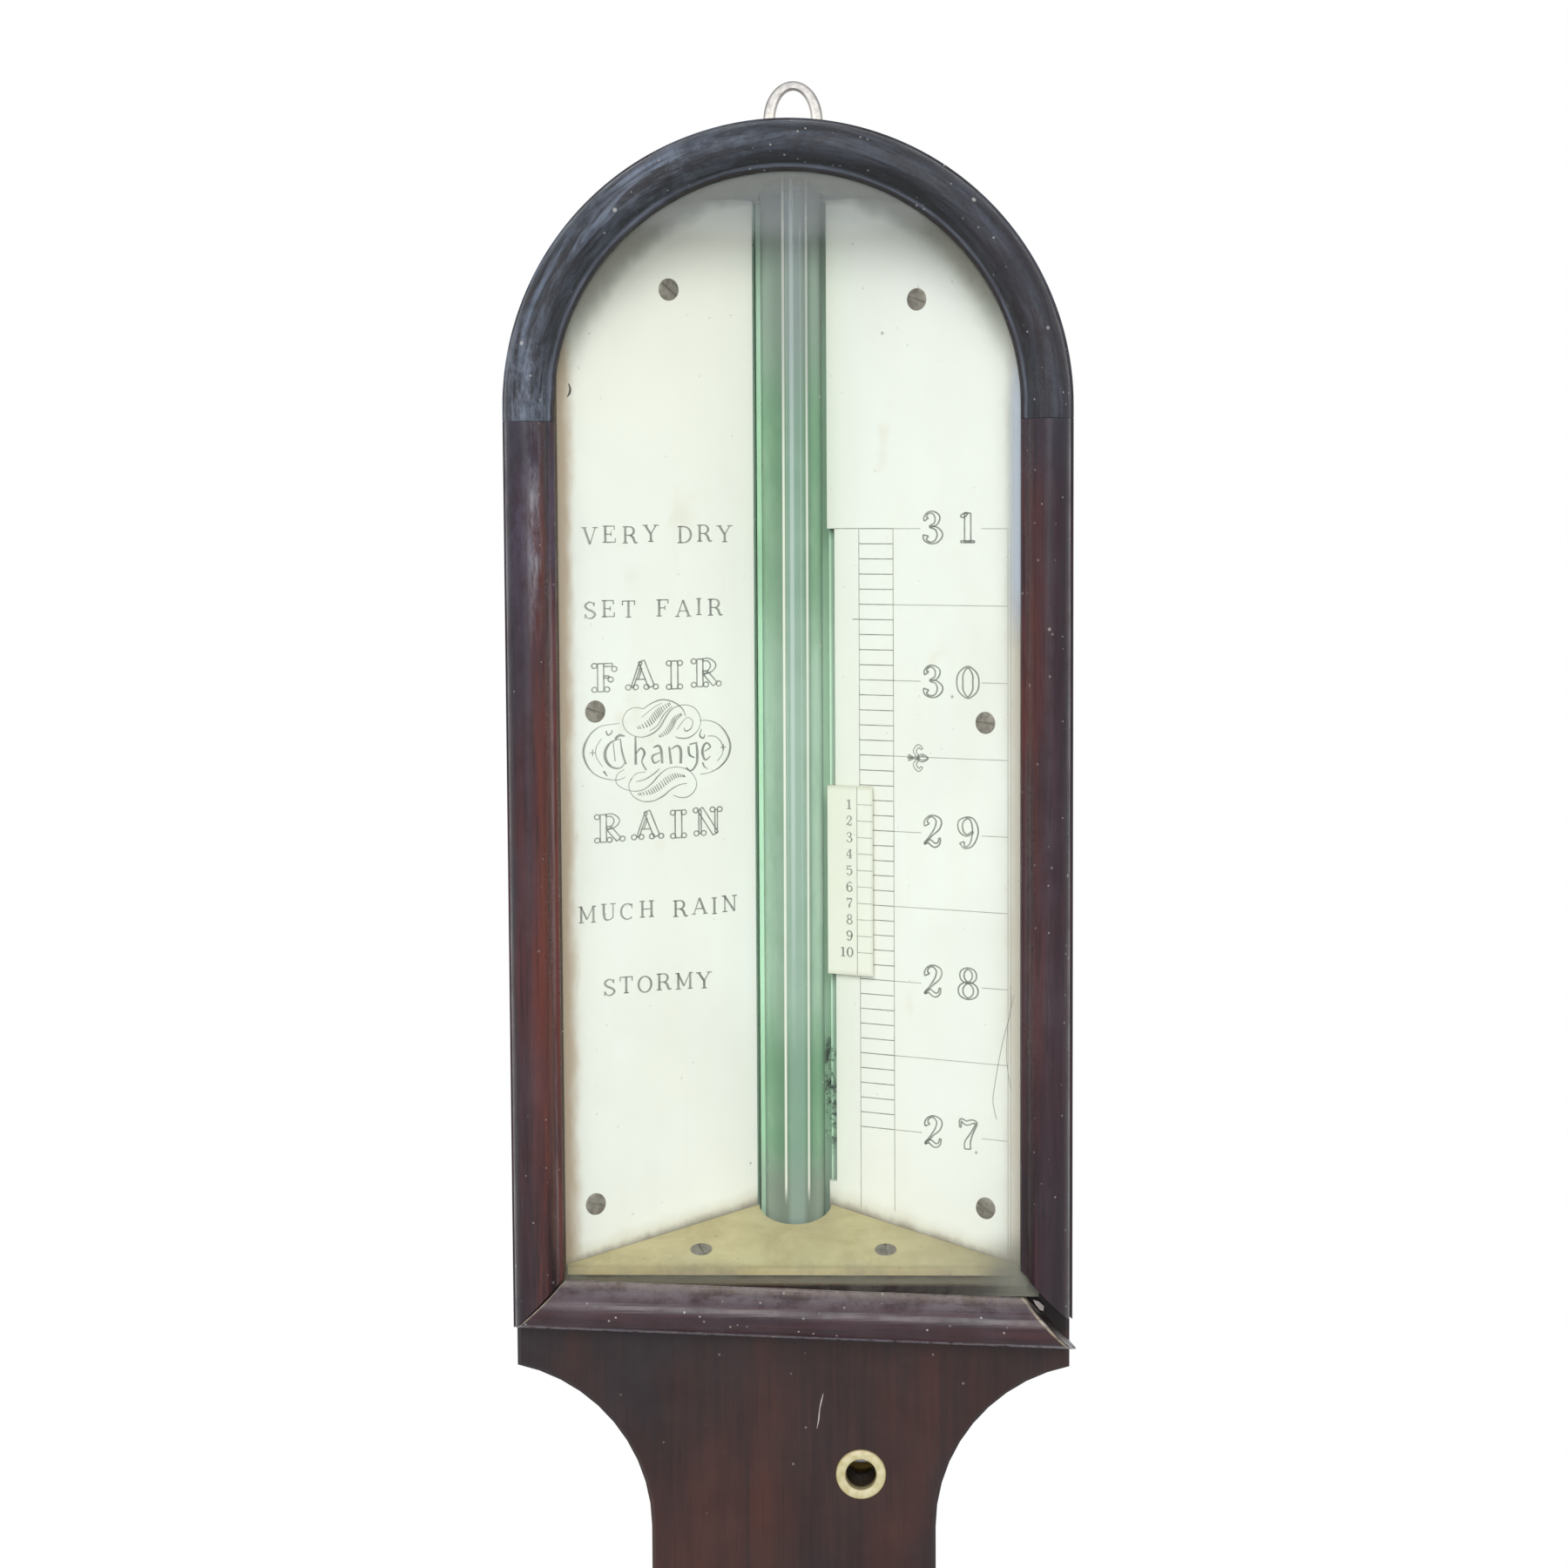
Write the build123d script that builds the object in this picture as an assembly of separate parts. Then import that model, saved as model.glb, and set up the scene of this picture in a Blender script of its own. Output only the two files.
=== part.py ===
"""Stick barometer with an arched head, a V-shaped register and a rack and pinion vernier.

Millimetres. X runs to the right, Y runs back to the wall and Z runs up. Zero is the
top inside edge of the hanging eye, in the wall plane. Depths are written as distances
out from the wall, so a depth of 38 lies at Y = -38.
"""
import os
from math import acos, atan, cos, degrees, pi, radians, sin, sqrt, tan

from build123d import *

# The scale, in true inches of mercury, and where its 31 inch line hangs below the eye
inch = 25.4
line_31_z = -75.0
column_inches = 31

# Case, cut from one thick board
case_depth = 38.0
head_w = 92.0
arch_rise = 19.9           # arch centre above the 31 inch line
head_drop = 138.9          # lower edge of the head below the 31 inch line
trunk_w = 47.5
base_w = 70.0
shoulder_r = 28.0
edge_round = 0.7

# Register recess behind the glass
floor_behind_tube = 9.0
recess_margin = 1.4        # recess wall outside the sight edge
recess_drop = 125.2        # recess floor below the 31 inch line
ceiling_straight = 12.0    # depth over which the recess ceiling runs straight back
ceiling_slope_d = 8.0      # depth over which it then slopes in
ceiling_taper = 3.6        # how far it slopes in

# Half-round moulding round the glass, with a rebate at its inner edge
moulding_w = 8.6
moulding_overhang = 0.4
moulding_lip = 3.0
moulding_quirk = 1.2
moulding_crest = 6.8
moulding_fillet = 1.6
moulding_toe = 1.2         # flat outer toe, with a small bevel
moulding_bevel = 0.5
arch_sides = 72            # sides of the whole ring that the arch is half of
crest_facets = 4           # the round of the moulding is cut in flats, to keep it light
arch_leg = 2.1             # straight foot of the arch below its centre
side_drop = 132.1          # outer corner of the left mitre below the 31 inch line
right_short = 1.6          # the right side ends this much higher
rail_over = 0.7            # the rail's right tip stands out this much
rail_tilt = 2.1            # the rail has slipped at its right end, in degrees

# Glass pane
glass_t = 2.0
glass_in = 3.0             # width held in the rebate
glass_gap = 0.2

# Glass tube and its channel
tube_r = 5.1
tube_bore_r = 1.4
face_to_tube = 20.0        # the tube's axis lies this far behind the case's face
tube_dip = 24.0            # open end below the mercury level
socket_deep = 4.0
tube_gap = 0.4
channel_half = 6.2
lining_t = 1.5

# Register plates of bone, set in a V on wooden blocks
plate_clear = 2.4          # the plates' outer edges lie this far behind the face
plate_t = 1.5
plate_gap = 0.2
plate_out = 37.9
left_edge = 6.5
right_edge = 5.9
slot_edge = 7.15           # the right plate is cut back here for the vernier
slot_length = 111.6        # from the 31 inch line down

# Brass plate and sill at the foot of the V
sill_back_drop = 115.5
sill_front_drop = 122.6
sill_clear = 1.4           # the sill's front lies this far behind the face
sill_gap = 0.35
brass_t = 1.2
brass_screw_x = 15.5
brass_screw_in = 5.2       # screws behind the plate's front edge
brass_screw_len = 4.4
notch_r = 6.2

# Vernier: eleven tenths of an inch divided in ten, with its margin
vernier_drop = 43.4        # zero edge below the 31 inch line
vernier_h = 32.1
vernier_w = 7.7
vernier_in = 5.8
vernier_t = 1.2
vernier_lift = 0.25
stem_in = 5.75
stem_out = 6.95
stem_gap = 0.2
foot_t = 0.7

# Rack and pinion
key_x = 11.3
key_drop = 157.2           # keyhole below the 31 inch line
gear_module = 0.5
pinion_teeth = 10
pressure_angle = 25.0
tooth_share = 0.8          # height of a tooth above its pitch line, in modules
root_share = 1.1
backlash = 0.08
rack_back_x = 7.2
rack_off_floor = 2.9       # the rack runs this far in front of the recess floor
rack_face = 4.0
rack_spare = 3.0           # teeth go on this far past the travel
rack_gap = 0.1
rack_clear = 0.4           # between the teeth and the block
pinion_face = 5.0
hub_gap = 0.15             # between the pinion's hub and each cheek
arbor_r = 1.3
arbor_square = 2.6
arbor_run = 0.05
key_clear = 2.0            # the arbor's square ends this far behind the bush
bracket_t = 1.6
bracket_ahead = 2.0        # the bracket's ears lie this far in front of the tube's axis
bracket_h = 10.0
ear_reach = 12.0
ear_screw = 9.0
ear_screw_len = 6.0
pocket_gap = 0.3           # between the bracket and its pocket
wheel_room = 0.6           # between the wheel's teeth and the bracket's web
bush_r = 4.2
bush_bore_r = 2.5
bush_len = 10.0
bush_proud = 0.4

# Cistern of boxwood, with a leather bag and the screw that closes it for travel
cistern_behind = 3.0       # wood, strip and gap between the cistern and the wall
cistern_wall = 3.5
cistern_gap = 0.3
level_room = 22.0          # top of the lid above the mercury level
pool_depth = 26.0          # joint of body and base below the level
lid_t = 6.0
spigot = 4.0
spigot_gap = 0.1
seal_w = 3.0
seal_h = 3.0
base_h = 26.0
base_floor = 6.0
barrel_sides = 36          # the hidden barrel is many-sided too
soft_sides = 24            # the leather and the mercury are many-sided, to keep them light
bag_depth = 12.0
bag_t = 1.2
bag_rim = 2.0
bag_foot = 3.0             # the bag's corner is cut off by this much
pad_clear = 3.5            # the pad's rim inside the bag
pad_t = 3.0
pad_travel = 7.0
screw_r = 3.0
screw_run = 0.05
case_floor = 10.0
screw_bush_r = 6.0
screw_bush_flange = 1.5
screw_bush_brim = 2.5
knob_r = 9.0
knob_h = 11.0
knob_gap = 8.5
knob_flutes = 12
flute = 1.1                # width of a flute's side
knob_socket = 0.6          # share of the knob's height that the screw goes in

# Turned cistern cover
cover_r = 29.0
cover_rise = 22.0
cover_wall = 4.5
cover_flange = 5.0
cover_flange_t = 3.5
cover_button_r = 4.0
cover_button_h = 2.0
cover_sides = 48
cover_facets = 3           # the dome is cut in flats, to keep it light
cover_screw_len = 9.0
window_r = 12.5            # opening in the case under the cover
base_over = 8.0            # the base goes on this far above the cover

# Back strip and hanging plate
strip_w = 38.0
strip_t = 2.5
strip_over = 4.0
strip_inset = 6.0          # screws in from the strip's edge
strip_first = 9.0          # first screws below the recess
strip_low = 12.0           # low screws above the cistern
hang_t = 2.0
eye_in_w = 3.1
eye_in_h = 5.2
eye_rim = 2.0
eye_rim_top = 1.5
eye_sides = 32
hang_in = 3.0              # the plate's shoulders below the top of the case
hang_w = 16.0
hang_h = 38.0
hang_screw_top = 9.0       # screws below the top of the case
hang_screw_low = 32.0
hang_screw_half = 4.5

# Screws: head radius, head height, shank radius and length
screw_head_r = 1.85
screw_head_h = 1.0
screw_shank_r = 0.9
screw_len = 7.0
screw_sides = 8            # the small screws are many-sided, to keep them light
screw_fit = 0.05
seat_gap = 0.1
slot_w = 0.5
slot_depth = 0.4

# Places worked out from those sizes
head_half = head_w / 2
trunk_half = trunk_w / 2
base_half = base_w / 2
face = case_depth
tube_depth = face - face_to_tube
recess_floor = tube_depth - floor_behind_tube
sill_front = face - sill_clear
v_slope = (face - plate_clear - tube_depth) / (plate_out - channel_half)
v_angle = degrees(atan(v_slope))
cistern_r = tube_depth - cistern_behind
bag_r = cistern_r - cistern_wall - cistern_gap
arch_z = line_31_z + arch_rise
head_bottom = line_31_z - head_drop
recess_bottom = line_31_z - recess_drop
moulding_out = head_half + moulding_overhang
sight_half = moulding_out - moulding_w
recess_half = sight_half + recess_margin
level_z = line_31_z - column_inches * inch
lid_top = level_z + level_room
body_bottom = level_z - pool_depth
cistern_bottom = body_bottom - base_h
case_bottom = cistern_bottom - cistern_gap - case_floor
cover_z = (lid_top + cistern_bottom) / 2
base_top = cover_z + cover_r + base_over
key_z = line_31_z - key_drop
vernier_top = line_31_z - vernier_drop
vernier_bottom = vernier_top - vernier_h
travel_up = vernier_drop
travel_down = slot_length - vernier_drop - vernier_h
pitch_r = gear_module * pinion_teeth / 2
tooth_pitch = pi * gear_module
pitch_x = key_x - pitch_r
rack_tip_x = pitch_x + tooth_share * gear_module
rack_root_x = pitch_x - root_share * gear_module
rack_d = recess_floor + rack_off_floor
rack_front = rack_d + rack_face
bracket_front = tube_depth + bracket_ahead
block_in = rack_tip_x + rack_clear
wall_of_rack = rack_back_x - rack_gap
lining_front = recess_floor + lining_t
bag_bottom = body_bottom - bag_depth
hang_screw_len = min(screw_len, recess_floor - 2 * seat_gap - 1)
pad_top = bag_bottom - cistern_gap
pad_r = bag_r - pad_clear + cistern_gap


def v_face(x):
    """Depth of the register's front surface at a distance x from the middle."""
    return tube_depth + (abs(x) - channel_half) * v_slope


def slab(shape, near, far):
    """A flat shape seen from the front, standing between two distances from the wall."""
    return extrude(Plane.XZ.offset(near) * shape, amount=far - near, dir=(0, -1, 0))


def outline(points):
    return Polygon(*points, align=None)


def upright(plan, low, high):
    """A prism between two heights, on a plan given as (x, distance from the wall)."""
    flat = make_face(Polyline(*[(x, -d) for x, d in plan], close=True))
    return extrude(Pos(0, 0, low) * flat, amount=high - low, dir=(0, 0, 1))


def crosswise(side_view, half):
    """A prism across the case, on a side view given as (distance from the wall, z)."""
    flat = make_face(Polyline(*[(0, -d, z) for d, z in side_view], close=True))
    return extrude(Pos(-half, 0, 0) * flat, amount=2 * half, dir=(1, 0, 0))


def turned(profile, x=0, depth=tube_depth):
    """A piece turned about an upright axis, on a profile of (radius, z)."""
    flat = make_face(Polyline(*[(r, 0, z) for r, z in profile], close=True))
    return Pos(x, -depth, 0) * revolve(flat, Axis.Z)


def post(radius, low, high, x=0, depth=tube_depth):
    return Pos(x, -depth, (low + high) / 2) * Cylinder(radius, high - low)


def pin(radius, near, far, x, z):
    """A round bar pointing out of the wall."""
    return slab(Pos(x, z) * Circle(radius), near, far)


def arched(half, bottom):
    """A round-topped outline, with its centre at the arch centre of the head."""
    leg = arch_z - bottom
    return Pos(0, arch_z) * Circle(half) + Pos(0, bottom + leg / 2) * Rectangle(2 * half, leg)


def many_sided(profile, sides, depth=0):
    """A piece turned with flat sides, on a closed profile of (radius, z)."""
    def corner(point, i):
        turn = 2 * pi * i / sides
        return Vector(point[0] * cos(turn), point[0] * sin(turn) - depth, point[1])

    flats = []
    for low, high in zip(profile, profile[1:] + profile[:1]):
        for i in range(sides):
            ring = [corner(low, i), corner(low, i + 1), corner(high, i + 1), corner(high, i)]
            ring = [p for j, p in enumerate(ring) if (p - ring[j - 1]).length > 1e-6]
            if len(ring) > 2:
                flats.append(Face(Wire.make_polygon(ring)))
    return Solid(Shell(flats)).clean()


def facing_front(x, z):
    """Turns a piece made on the upright axis to face out of the case at (x, z)."""
    return Plane(origin=(x, -face, z), x_dir=(1, 0, 0), z_dir=(0, -1, 0)).location


def wood_screw(length=screw_len):
    """A countersunk slotted screw with its head's face at zero and its point down."""
    bar = many_sided([(0, 0), (screw_head_r, 0), (screw_shank_r, -screw_head_h), (screw_shank_r, -length),
                      (0, -length)], screw_sides)
    return bar - Pos(0, 0, -slot_depth / 2) * Box(3 * screw_head_r, slot_w, slot_depth)


def screw_seat(length=screw_len):
    """The countersunk hole for such a screw, a little wider than the screw all over."""
    lean = (screw_head_r - screw_shank_r) / screw_head_h
    mouth = screw_head_r + screw_fit + 2 * seat_gap * lean
    narrow = screw_shank_r + screw_fit
    return many_sided([(0, 2 * seat_gap), (mouth, 2 * seat_gap), (narrow, -screw_head_h),
                       (narrow, -length - screw_fit), (0, -length - screw_fit)], screw_sides)


def screws(places, length=screw_len):
    return Compound([(place * wood_screw(length)).solid() for place in places])


def screw_seats(places, length=screw_len):
    return [place * screw_seat(length) for place in places]


def pointing(x, depth, z, normal, slot_turn=0):
    """Where a screw sits: the middle of its head, its outward normal and its slot's turn."""
    place = Plane(origin=(x, -depth, z), z_dir=normal, x_dir=(0, 0, 1)).location
    return place * Rot(0, 0, slot_turn)


def to_front(x, depth, z, turn=0):
    return pointing(x, depth, z, (0, -1, 0), turn)


def to_back(x, depth, z, turn=0):
    return pointing(x, depth, z, (0, 1, 0), turn)


# Case

def shoulder(wide_half, edge_z, down):
    """Concave shoulders between a wide part and the trunk; down is 1 below it, -1 above."""
    reach = trunk_half + shoulder_r - wide_half
    rise = sqrt(shoulder_r**2 - reach**2)
    block = Pos(0, edge_z - down * rise / 2) * Rectangle(2 * wide_half, rise)
    for side in (-1, 1):
        block -= Pos(side * (trunk_half + shoulder_r), edge_z - down * rise) * Circle(shoulder_r)
    return block


def pocket_side():
    """Right wall of the pinion's pocket, clear of the wheel and the bracket's web."""
    return key_x + pitch_r + tooth_share * gear_module + wheel_room + bracket_t + pocket_gap


def case_outline():
    trunk_h = head_bottom - base_top
    return (arched(head_half, head_bottom)
            + shoulder(head_half, head_bottom, 1)
            + Pos(0, (head_bottom + base_top) / 2) * Rectangle(trunk_w, trunk_h)
            + shoulder(base_half, base_top, -1)
            + Pos(0, (base_top + case_bottom) / 2) * Rectangle(base_w, base_top - case_bottom))


def recess(gap=0.0):
    """The hollow behind the glass: straight sides, and an arch that slopes in at the back."""
    half = recess_half - gap
    bottom = recess_bottom
    slope_start = face - ceiling_straight
    slope_end = slope_start - ceiling_slope_d
    legs = slab(Pos(0, (arch_z + bottom) / 2) * Rectangle(2 * half, arch_z - bottom), recess_floor, face)
    front = slab(Pos(0, arch_z) * Circle(half), slope_start, face)
    back_half = half - ceiling_taper
    slope = Pos(0, -(slope_start + slope_end) / 2, arch_z) * Rot(90, 0, 0) * Cone(
        back_half, half, ceiling_slope_d)
    back = slab(Pos(0, arch_z) * Circle(back_half), recess_floor, slope_end)
    return legs + front + slope + back


def register_places():
    """The six screws of the two plates, as (x, height above the 31 inch line, slot turn)."""
    spots = ((-20.0, 39.75, 50), (-32.3, -29.9, 70), (-33.0, -112.6, 75),
             (21.05, 37.8, 70), (32.2, -32.0, 85), (32.2, -113.3, 60))
    places = []
    for x, rise, turn in spots:
        side = 1 if x > 0 else -1
        normal = (-side * sin(radians(v_angle)), -cos(radians(v_angle)), 0)
        places.append(pointing(x, v_face(x) + seat_gap, line_31_z + rise, normal, turn))
    return places


def brass_z(depth):
    """Height of the brass plate's top face, which climbs towards the tube."""
    share = (sill_front - depth) / (sill_front - tube_depth)
    return line_31_z - sill_front_drop + share * (sill_front_drop - sill_back_drop)


def brass_places():
    """The two screws of the brass plate, square to its slope."""
    climb = (sill_front_drop - sill_back_drop) / (sill_front - tube_depth)
    depth = sill_front - brass_screw_in
    normal = (0, -climb, 1)
    places = ((-brass_screw_x, 20), (brass_screw_x, 5))
    return [pointing(x, depth, brass_z(depth) + seat_gap, normal, turn) for x, turn in places]


def strip_places():
    """Screws of the back strip, in pairs clear of the tube's groove and the cistern."""
    inset = strip_w / 2 - strip_inset
    first = recess_bottom - strip_first
    low = lid_top + strip_low
    rows = [first, (first + low) / 2, low, case_bottom + case_floor / 2]
    return [to_back(side * inset, seat_gap, z, 25 * i) for i, z in enumerate(rows) for side in (-1, 1)]


def hang_places():
    top = arch_z + head_half
    spots = ((0, hang_screw_top), (-hang_screw_half, hang_screw_low), (hang_screw_half, hang_screw_low))
    return [to_back(x, seat_gap, top - drop, 40 + 9 * drop) for x, drop in spots]


def cover_places():
    reach = cover_r - cover_flange / 2
    depth = face + cover_flange_t
    return [to_front(side * reach, depth, cover_z, 30 * side) for side in (-1, 1)]


def bracket_places():
    depth = bracket_front - bracket_t - seat_gap
    return [to_back(key_x, depth, key_z + side * ear_screw, 60) for side in (-1, 1)]


def case_body():
    board = slab(case_outline(), 0, case_depth)
    rim = board.faces().filter_by(Plane.XZ).sort_by(Axis.Y)[0].edges()
    board = chamfer(rim, edge_round)
    board -= recess()
    # the socket for the tube's sealed end, and the groove that the tube runs down in
    ceiling = arch_z + recess_half - ceiling_taper
    groove = tube_r + tube_gap
    board -= post(groove, ceiling - 2 * tube_gap - ceiling_taper, ceiling + socket_deep)
    mortise_top = lid_top + cistern_gap + seal_h + 1
    middle = (recess_bottom + mortise_top) / 2
    board -= post(groove, mortise_top - 1, recess_bottom)
    board -= slab(Pos(0, middle) * Rectangle(2 * groove, recess_bottom - mortise_top), -1, tube_depth)
    # the slot that the rack slides in, the pocket of the pinion and the keyhole
    rack_low = rack_bottom() - travel_down - rack_spare
    rack_w = block_in - wall_of_rack
    board -= slab(Pos(wall_of_rack + rack_w / 2, (recess_bottom + rack_low) / 2)
                  * Rectangle(rack_w, recess_bottom - rack_low), -1, rack_front + pocket_gap)
    pocket_w = pocket_side() - wall_of_rack
    board -= slab(Pos(wall_of_rack + pocket_w / 2, key_z)
                  * Rectangle(pocket_w, 2 * (ear_reach + pocket_gap)), -1, bracket_front)
    board -= pin(bush_r + screw_fit, bracket_front - 1, face + 1, key_x, key_z)
    # the cistern's mortise, its window under the cover, and the screw's way out
    mortise = cistern_r + cistern_gap
    low = cistern_bottom - cistern_gap
    board -= post(mortise, low, mortise_top)
    board -= slab(Pos(0, (low + mortise_top) / 2) * Rectangle(2 * mortise, mortise_top - low), -1, tube_depth)
    board -= pin(window_r, tube_depth, face + 1, 0, cover_z)
    board -= post(screw_bush_r + screw_fit, case_bottom - 1, low + 1)
    # rebates for the back strip and the hanging plate
    top = recess_bottom + strip_over
    board -= slab(Pos(0, (top + case_bottom - 1) / 2)
                  * Rectangle(strip_w + 2 * plate_gap, top - case_bottom + 1), -1, strip_t)
    board -= slab(hang_outline(plate_gap), -1, hang_t)
    for seat in (screw_seats(strip_places()) + screw_seats(hang_places(), hang_screw_len)
                 + screw_seats(cover_places(), cover_screw_len) + screw_seats(bracket_places(), ear_screw_len)):
        board -= seat
    return board


# Moulding

def moulding_points():
    """Corners of the moulding's section: outwards from the sight edge, forwards from the case."""
    rebate_h = glass_t + glass_gap
    rebate_w = glass_in + glass_gap
    start = (moulding_quirk, moulding_lip + moulding_quirk)
    end = (moulding_w - moulding_toe, moulding_fillet)
    middle = ((start[0] + end[0]) / 2, moulding_crest)
    crest = ThreePointArc(start, middle, end)
    round_part = [crest @ (i / crest_facets) for i in range(crest_facets + 1)]
    corners = [(rebate_w, 0), (rebate_w, rebate_h), (0, rebate_h), (0, moulding_lip)]
    corners += [(point.X, point.Y) for point in round_part]
    return corners + [(moulding_w, moulding_fillet - moulding_bevel), (moulding_w, 0)]


def moulding_section():
    return make_face(Polyline(*moulding_points(), close=True))


def section_at(x, z):
    """The section lying flat at height z, its sight edge at x and its crown to the front."""
    plane = Plane(origin=(x, -face, z), x_dir=(1, 0, 0), z_dir=(0, 0, -1))
    return plane * moulding_section()


def side_length(side):
    return side_drop + arch_rise - arch_leg - (right_short if side > 0 else 0)


def arch_moulding():
    ring = many_sided([(sight_half + out, rise) for out, rise in moulding_points()], arch_sides)
    reach = 2 * moulding_out
    arch = facing_front(0, arch_z) * ring & Pos(0, -face, arch_z + reach / 2) * Box(2 * reach, reach, reach)
    for side in (-1, 1):
        foot = extrude(section_at(sight_half, arch_z), amount=arch_leg, dir=(0, 0, -1))
        arch += foot if side > 0 else mirror(foot, Plane.YZ)
    return arch


def side_moulding(side):
    """One side, square at its top and mitred at its foot."""
    top = arch_z - arch_leg
    length = side_length(side)
    low = top - length
    piece = extrude(section_at(sight_half, top), amount=length, dir=(0, 0, -1))
    keep = outline([(sight_half - 1, top + 1), (moulding_out + 1, top + 1), (moulding_out + 1, low - 1),
                    (sight_half - 1, low + moulding_w + 1)])
    piece &= slab(keep, face - 1, face + 2 * moulding_crest)
    return piece if side > 0 else mirror(piece, Plane.YZ)


def bottom_rail():
    """The mitred rail below the glass, which has slipped down at its right end."""
    corner_z = line_31_z - side_drop
    length = 2 * moulding_out + rail_over
    lying = Plane(origin=(-moulding_out, -face, corner_z + moulding_w), x_dir=(0, 0, -1), z_dir=(-1, 0, 0))
    piece = extrude(lying * moulding_section(), amount=length, dir=(1, 0, 0))
    left, right = -moulding_out, -moulding_out + length
    top = corner_z + moulding_w
    keep = outline([(left, corner_z), (right, corner_z), (right - moulding_w, top), (left + moulding_w, top)])
    piece &= slab(keep, face - 1, face + 2 * moulding_crest)
    pivot = Pos(left, -face, corner_z)
    return pivot * Rot(0, rail_tilt, 0) * pivot.inverse() * piece


def glass_pane():
    bottom = line_31_z - side_drop + moulding_w - glass_in
    return slab(arched(sight_half + glass_in, bottom), face, face + glass_t)


# Register

def block(side):
    """A wooden wedge that carries one plate of the V."""
    inner = channel_half + plate_gap if side < 0 else block_in
    outer = recess_half
    behind = plate_t / cos(radians(v_angle))
    plan = [(side * inner, recess_floor), (side * outer, recess_floor),
            (side * outer, v_face(outer) - behind), (side * inner, v_face(inner) - behind)]
    wedge = upright(plan, recess_bottom, arch_z + recess_half) & recess(plate_gap)
    for seat in screw_seats(register_places()):
        wedge -= seat
    return wedge


def plate(side):
    """A thin plate of bone; the right one is cut back so that the vernier can pass."""
    inner = left_edge if side < 0 else right_edge
    behind = plate_t / cos(radians(v_angle))
    plan = [(side * inner, v_face(inner)), (side * plate_out, v_face(plate_out)),
            (side * plate_out, v_face(plate_out) - behind), (side * inner, v_face(inner) - behind)]
    bone = upright(plan, recess_bottom, arch_z + recess_half) & recess(plate_gap)
    if side > 0:
        bone -= Pos(slot_edge / 2, -face / 2, line_31_z - slot_length / 2) * Box(slot_edge, face, slot_length)
    for seat in screw_seats(register_places()):
        bone -= seat
    return bone


def channel_lining():
    """The green-painted back of the tube's channel, with the rib that the rack runs along."""
    rib_front = rack_front - rack_gap
    plan = [(-channel_half, recess_floor), (block_in, recess_floor), (block_in, lining_front),
            (wall_of_rack, lining_front), (wall_of_rack, rib_front), (channel_half, rib_front),
            (channel_half, lining_front), (-channel_half, lining_front)]
    return upright(plan, recess_bottom, arch_z + recess_half) & recess(plate_gap)


def sill_plan(gap):
    """The space between the two plates, seen from above."""
    inner = channel_half - sill_gap
    outer = plate_out - sill_gap
    return [(-inner, tube_depth + gap), (-outer, v_face(outer) + gap), (-outer, sill_front),
            (outer, sill_front), (outer, v_face(outer) + gap), (inner, tube_depth + gap)]


def under_slope(thickness):
    """Everything in front of the tube's axis that lies under the brass plate's slope."""
    back, front = tube_depth - 1, sill_front + 1
    return crosswise([(back, brass_z(back) - thickness), (front, brass_z(front) - thickness),
                      (front, recess_bottom - 1), (back, recess_bottom - 1)], head_half)


def register_sill():
    """The dark block below the brass plate."""
    fill = upright(sill_plan(plate_gap), recess_bottom, brass_z(tube_depth)) & under_slope(brass_t)
    fill -= post(notch_r, recess_bottom - 1, line_31_z)
    for seat in screw_seats(brass_places(), brass_screw_len):
        fill -= seat
    return fill


def brass_plate():
    """The sloping brass plate at the foot of the V, notched round the tube."""
    sheet = upright(sill_plan(plate_gap), recess_bottom, brass_z(tube_depth)) & under_slope(0)
    sheet -= under_slope(brass_t)
    sheet -= post(notch_r, recess_bottom - 1, line_31_z)
    for seat in screw_seats(brass_places(), brass_screw_len):
        sheet -= seat
    return sheet


# Vernier, rack and pinion

def vernier_plate():
    out = vernier_in + vernier_w
    front = vernier_lift + vernier_t / cos(radians(v_angle))
    plan = [(vernier_in, v_face(vernier_in) + vernier_lift), (out, v_face(out) + vernier_lift),
            (out, v_face(out) + front), (vernier_in, v_face(vernier_in) + front)]
    return upright(plan, vernier_bottom, vernier_top)


def vernier_carrier():
    """The brass stem that joins the vernier to the rack through the slit beside the tube."""
    foot_front = rack_front + foot_t
    plan = [(stem_in, rack_front), (rack_root_x, rack_front), (rack_root_x, foot_front),
            (stem_out, foot_front), (stem_out, v_face(stem_out) + vernier_lift),
            (stem_in, v_face(stem_in) + vernier_lift)]
    return upright(plan, vernier_bottom + stem_gap, vernier_top - stem_gap)


def rack_bottom():
    return key_z - travel_up - rack_spare - 1


def rack_bar():
    """A flat bar with its teeth to the right, cut as trapeziums on the pitch line."""
    top = vernier_top - stem_gap
    plan = [(rack_back_x, rack_d), (rack_root_x, rack_d), (rack_root_x, rack_front), (rack_back_x, rack_front)]
    bar = upright(plan, rack_bottom(), top)
    lean = tan(radians(pressure_angle))
    half_pitch = tooth_pitch / 4 - backlash / 2
    tip_half = half_pitch - tooth_share * gear_module * lean
    root_half = half_pitch + root_share * gear_module * lean
    above = int((travel_down + rack_spare) / tooth_pitch)
    below = int((travel_up + rack_spare) / tooth_pitch)
    teeth = []
    for i in range(-below, above + 1):
        z = key_z + (i + 0.5) * tooth_pitch
        teeth.append(outline([(rack_root_x - 0.05, z - root_half), (rack_tip_x, z - tip_half),
                              (rack_tip_x, z + tip_half), (rack_root_x - 0.05, z + root_half)]))
    return bar + slab(Sketch() + teeth, rack_d, rack_front)


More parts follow.
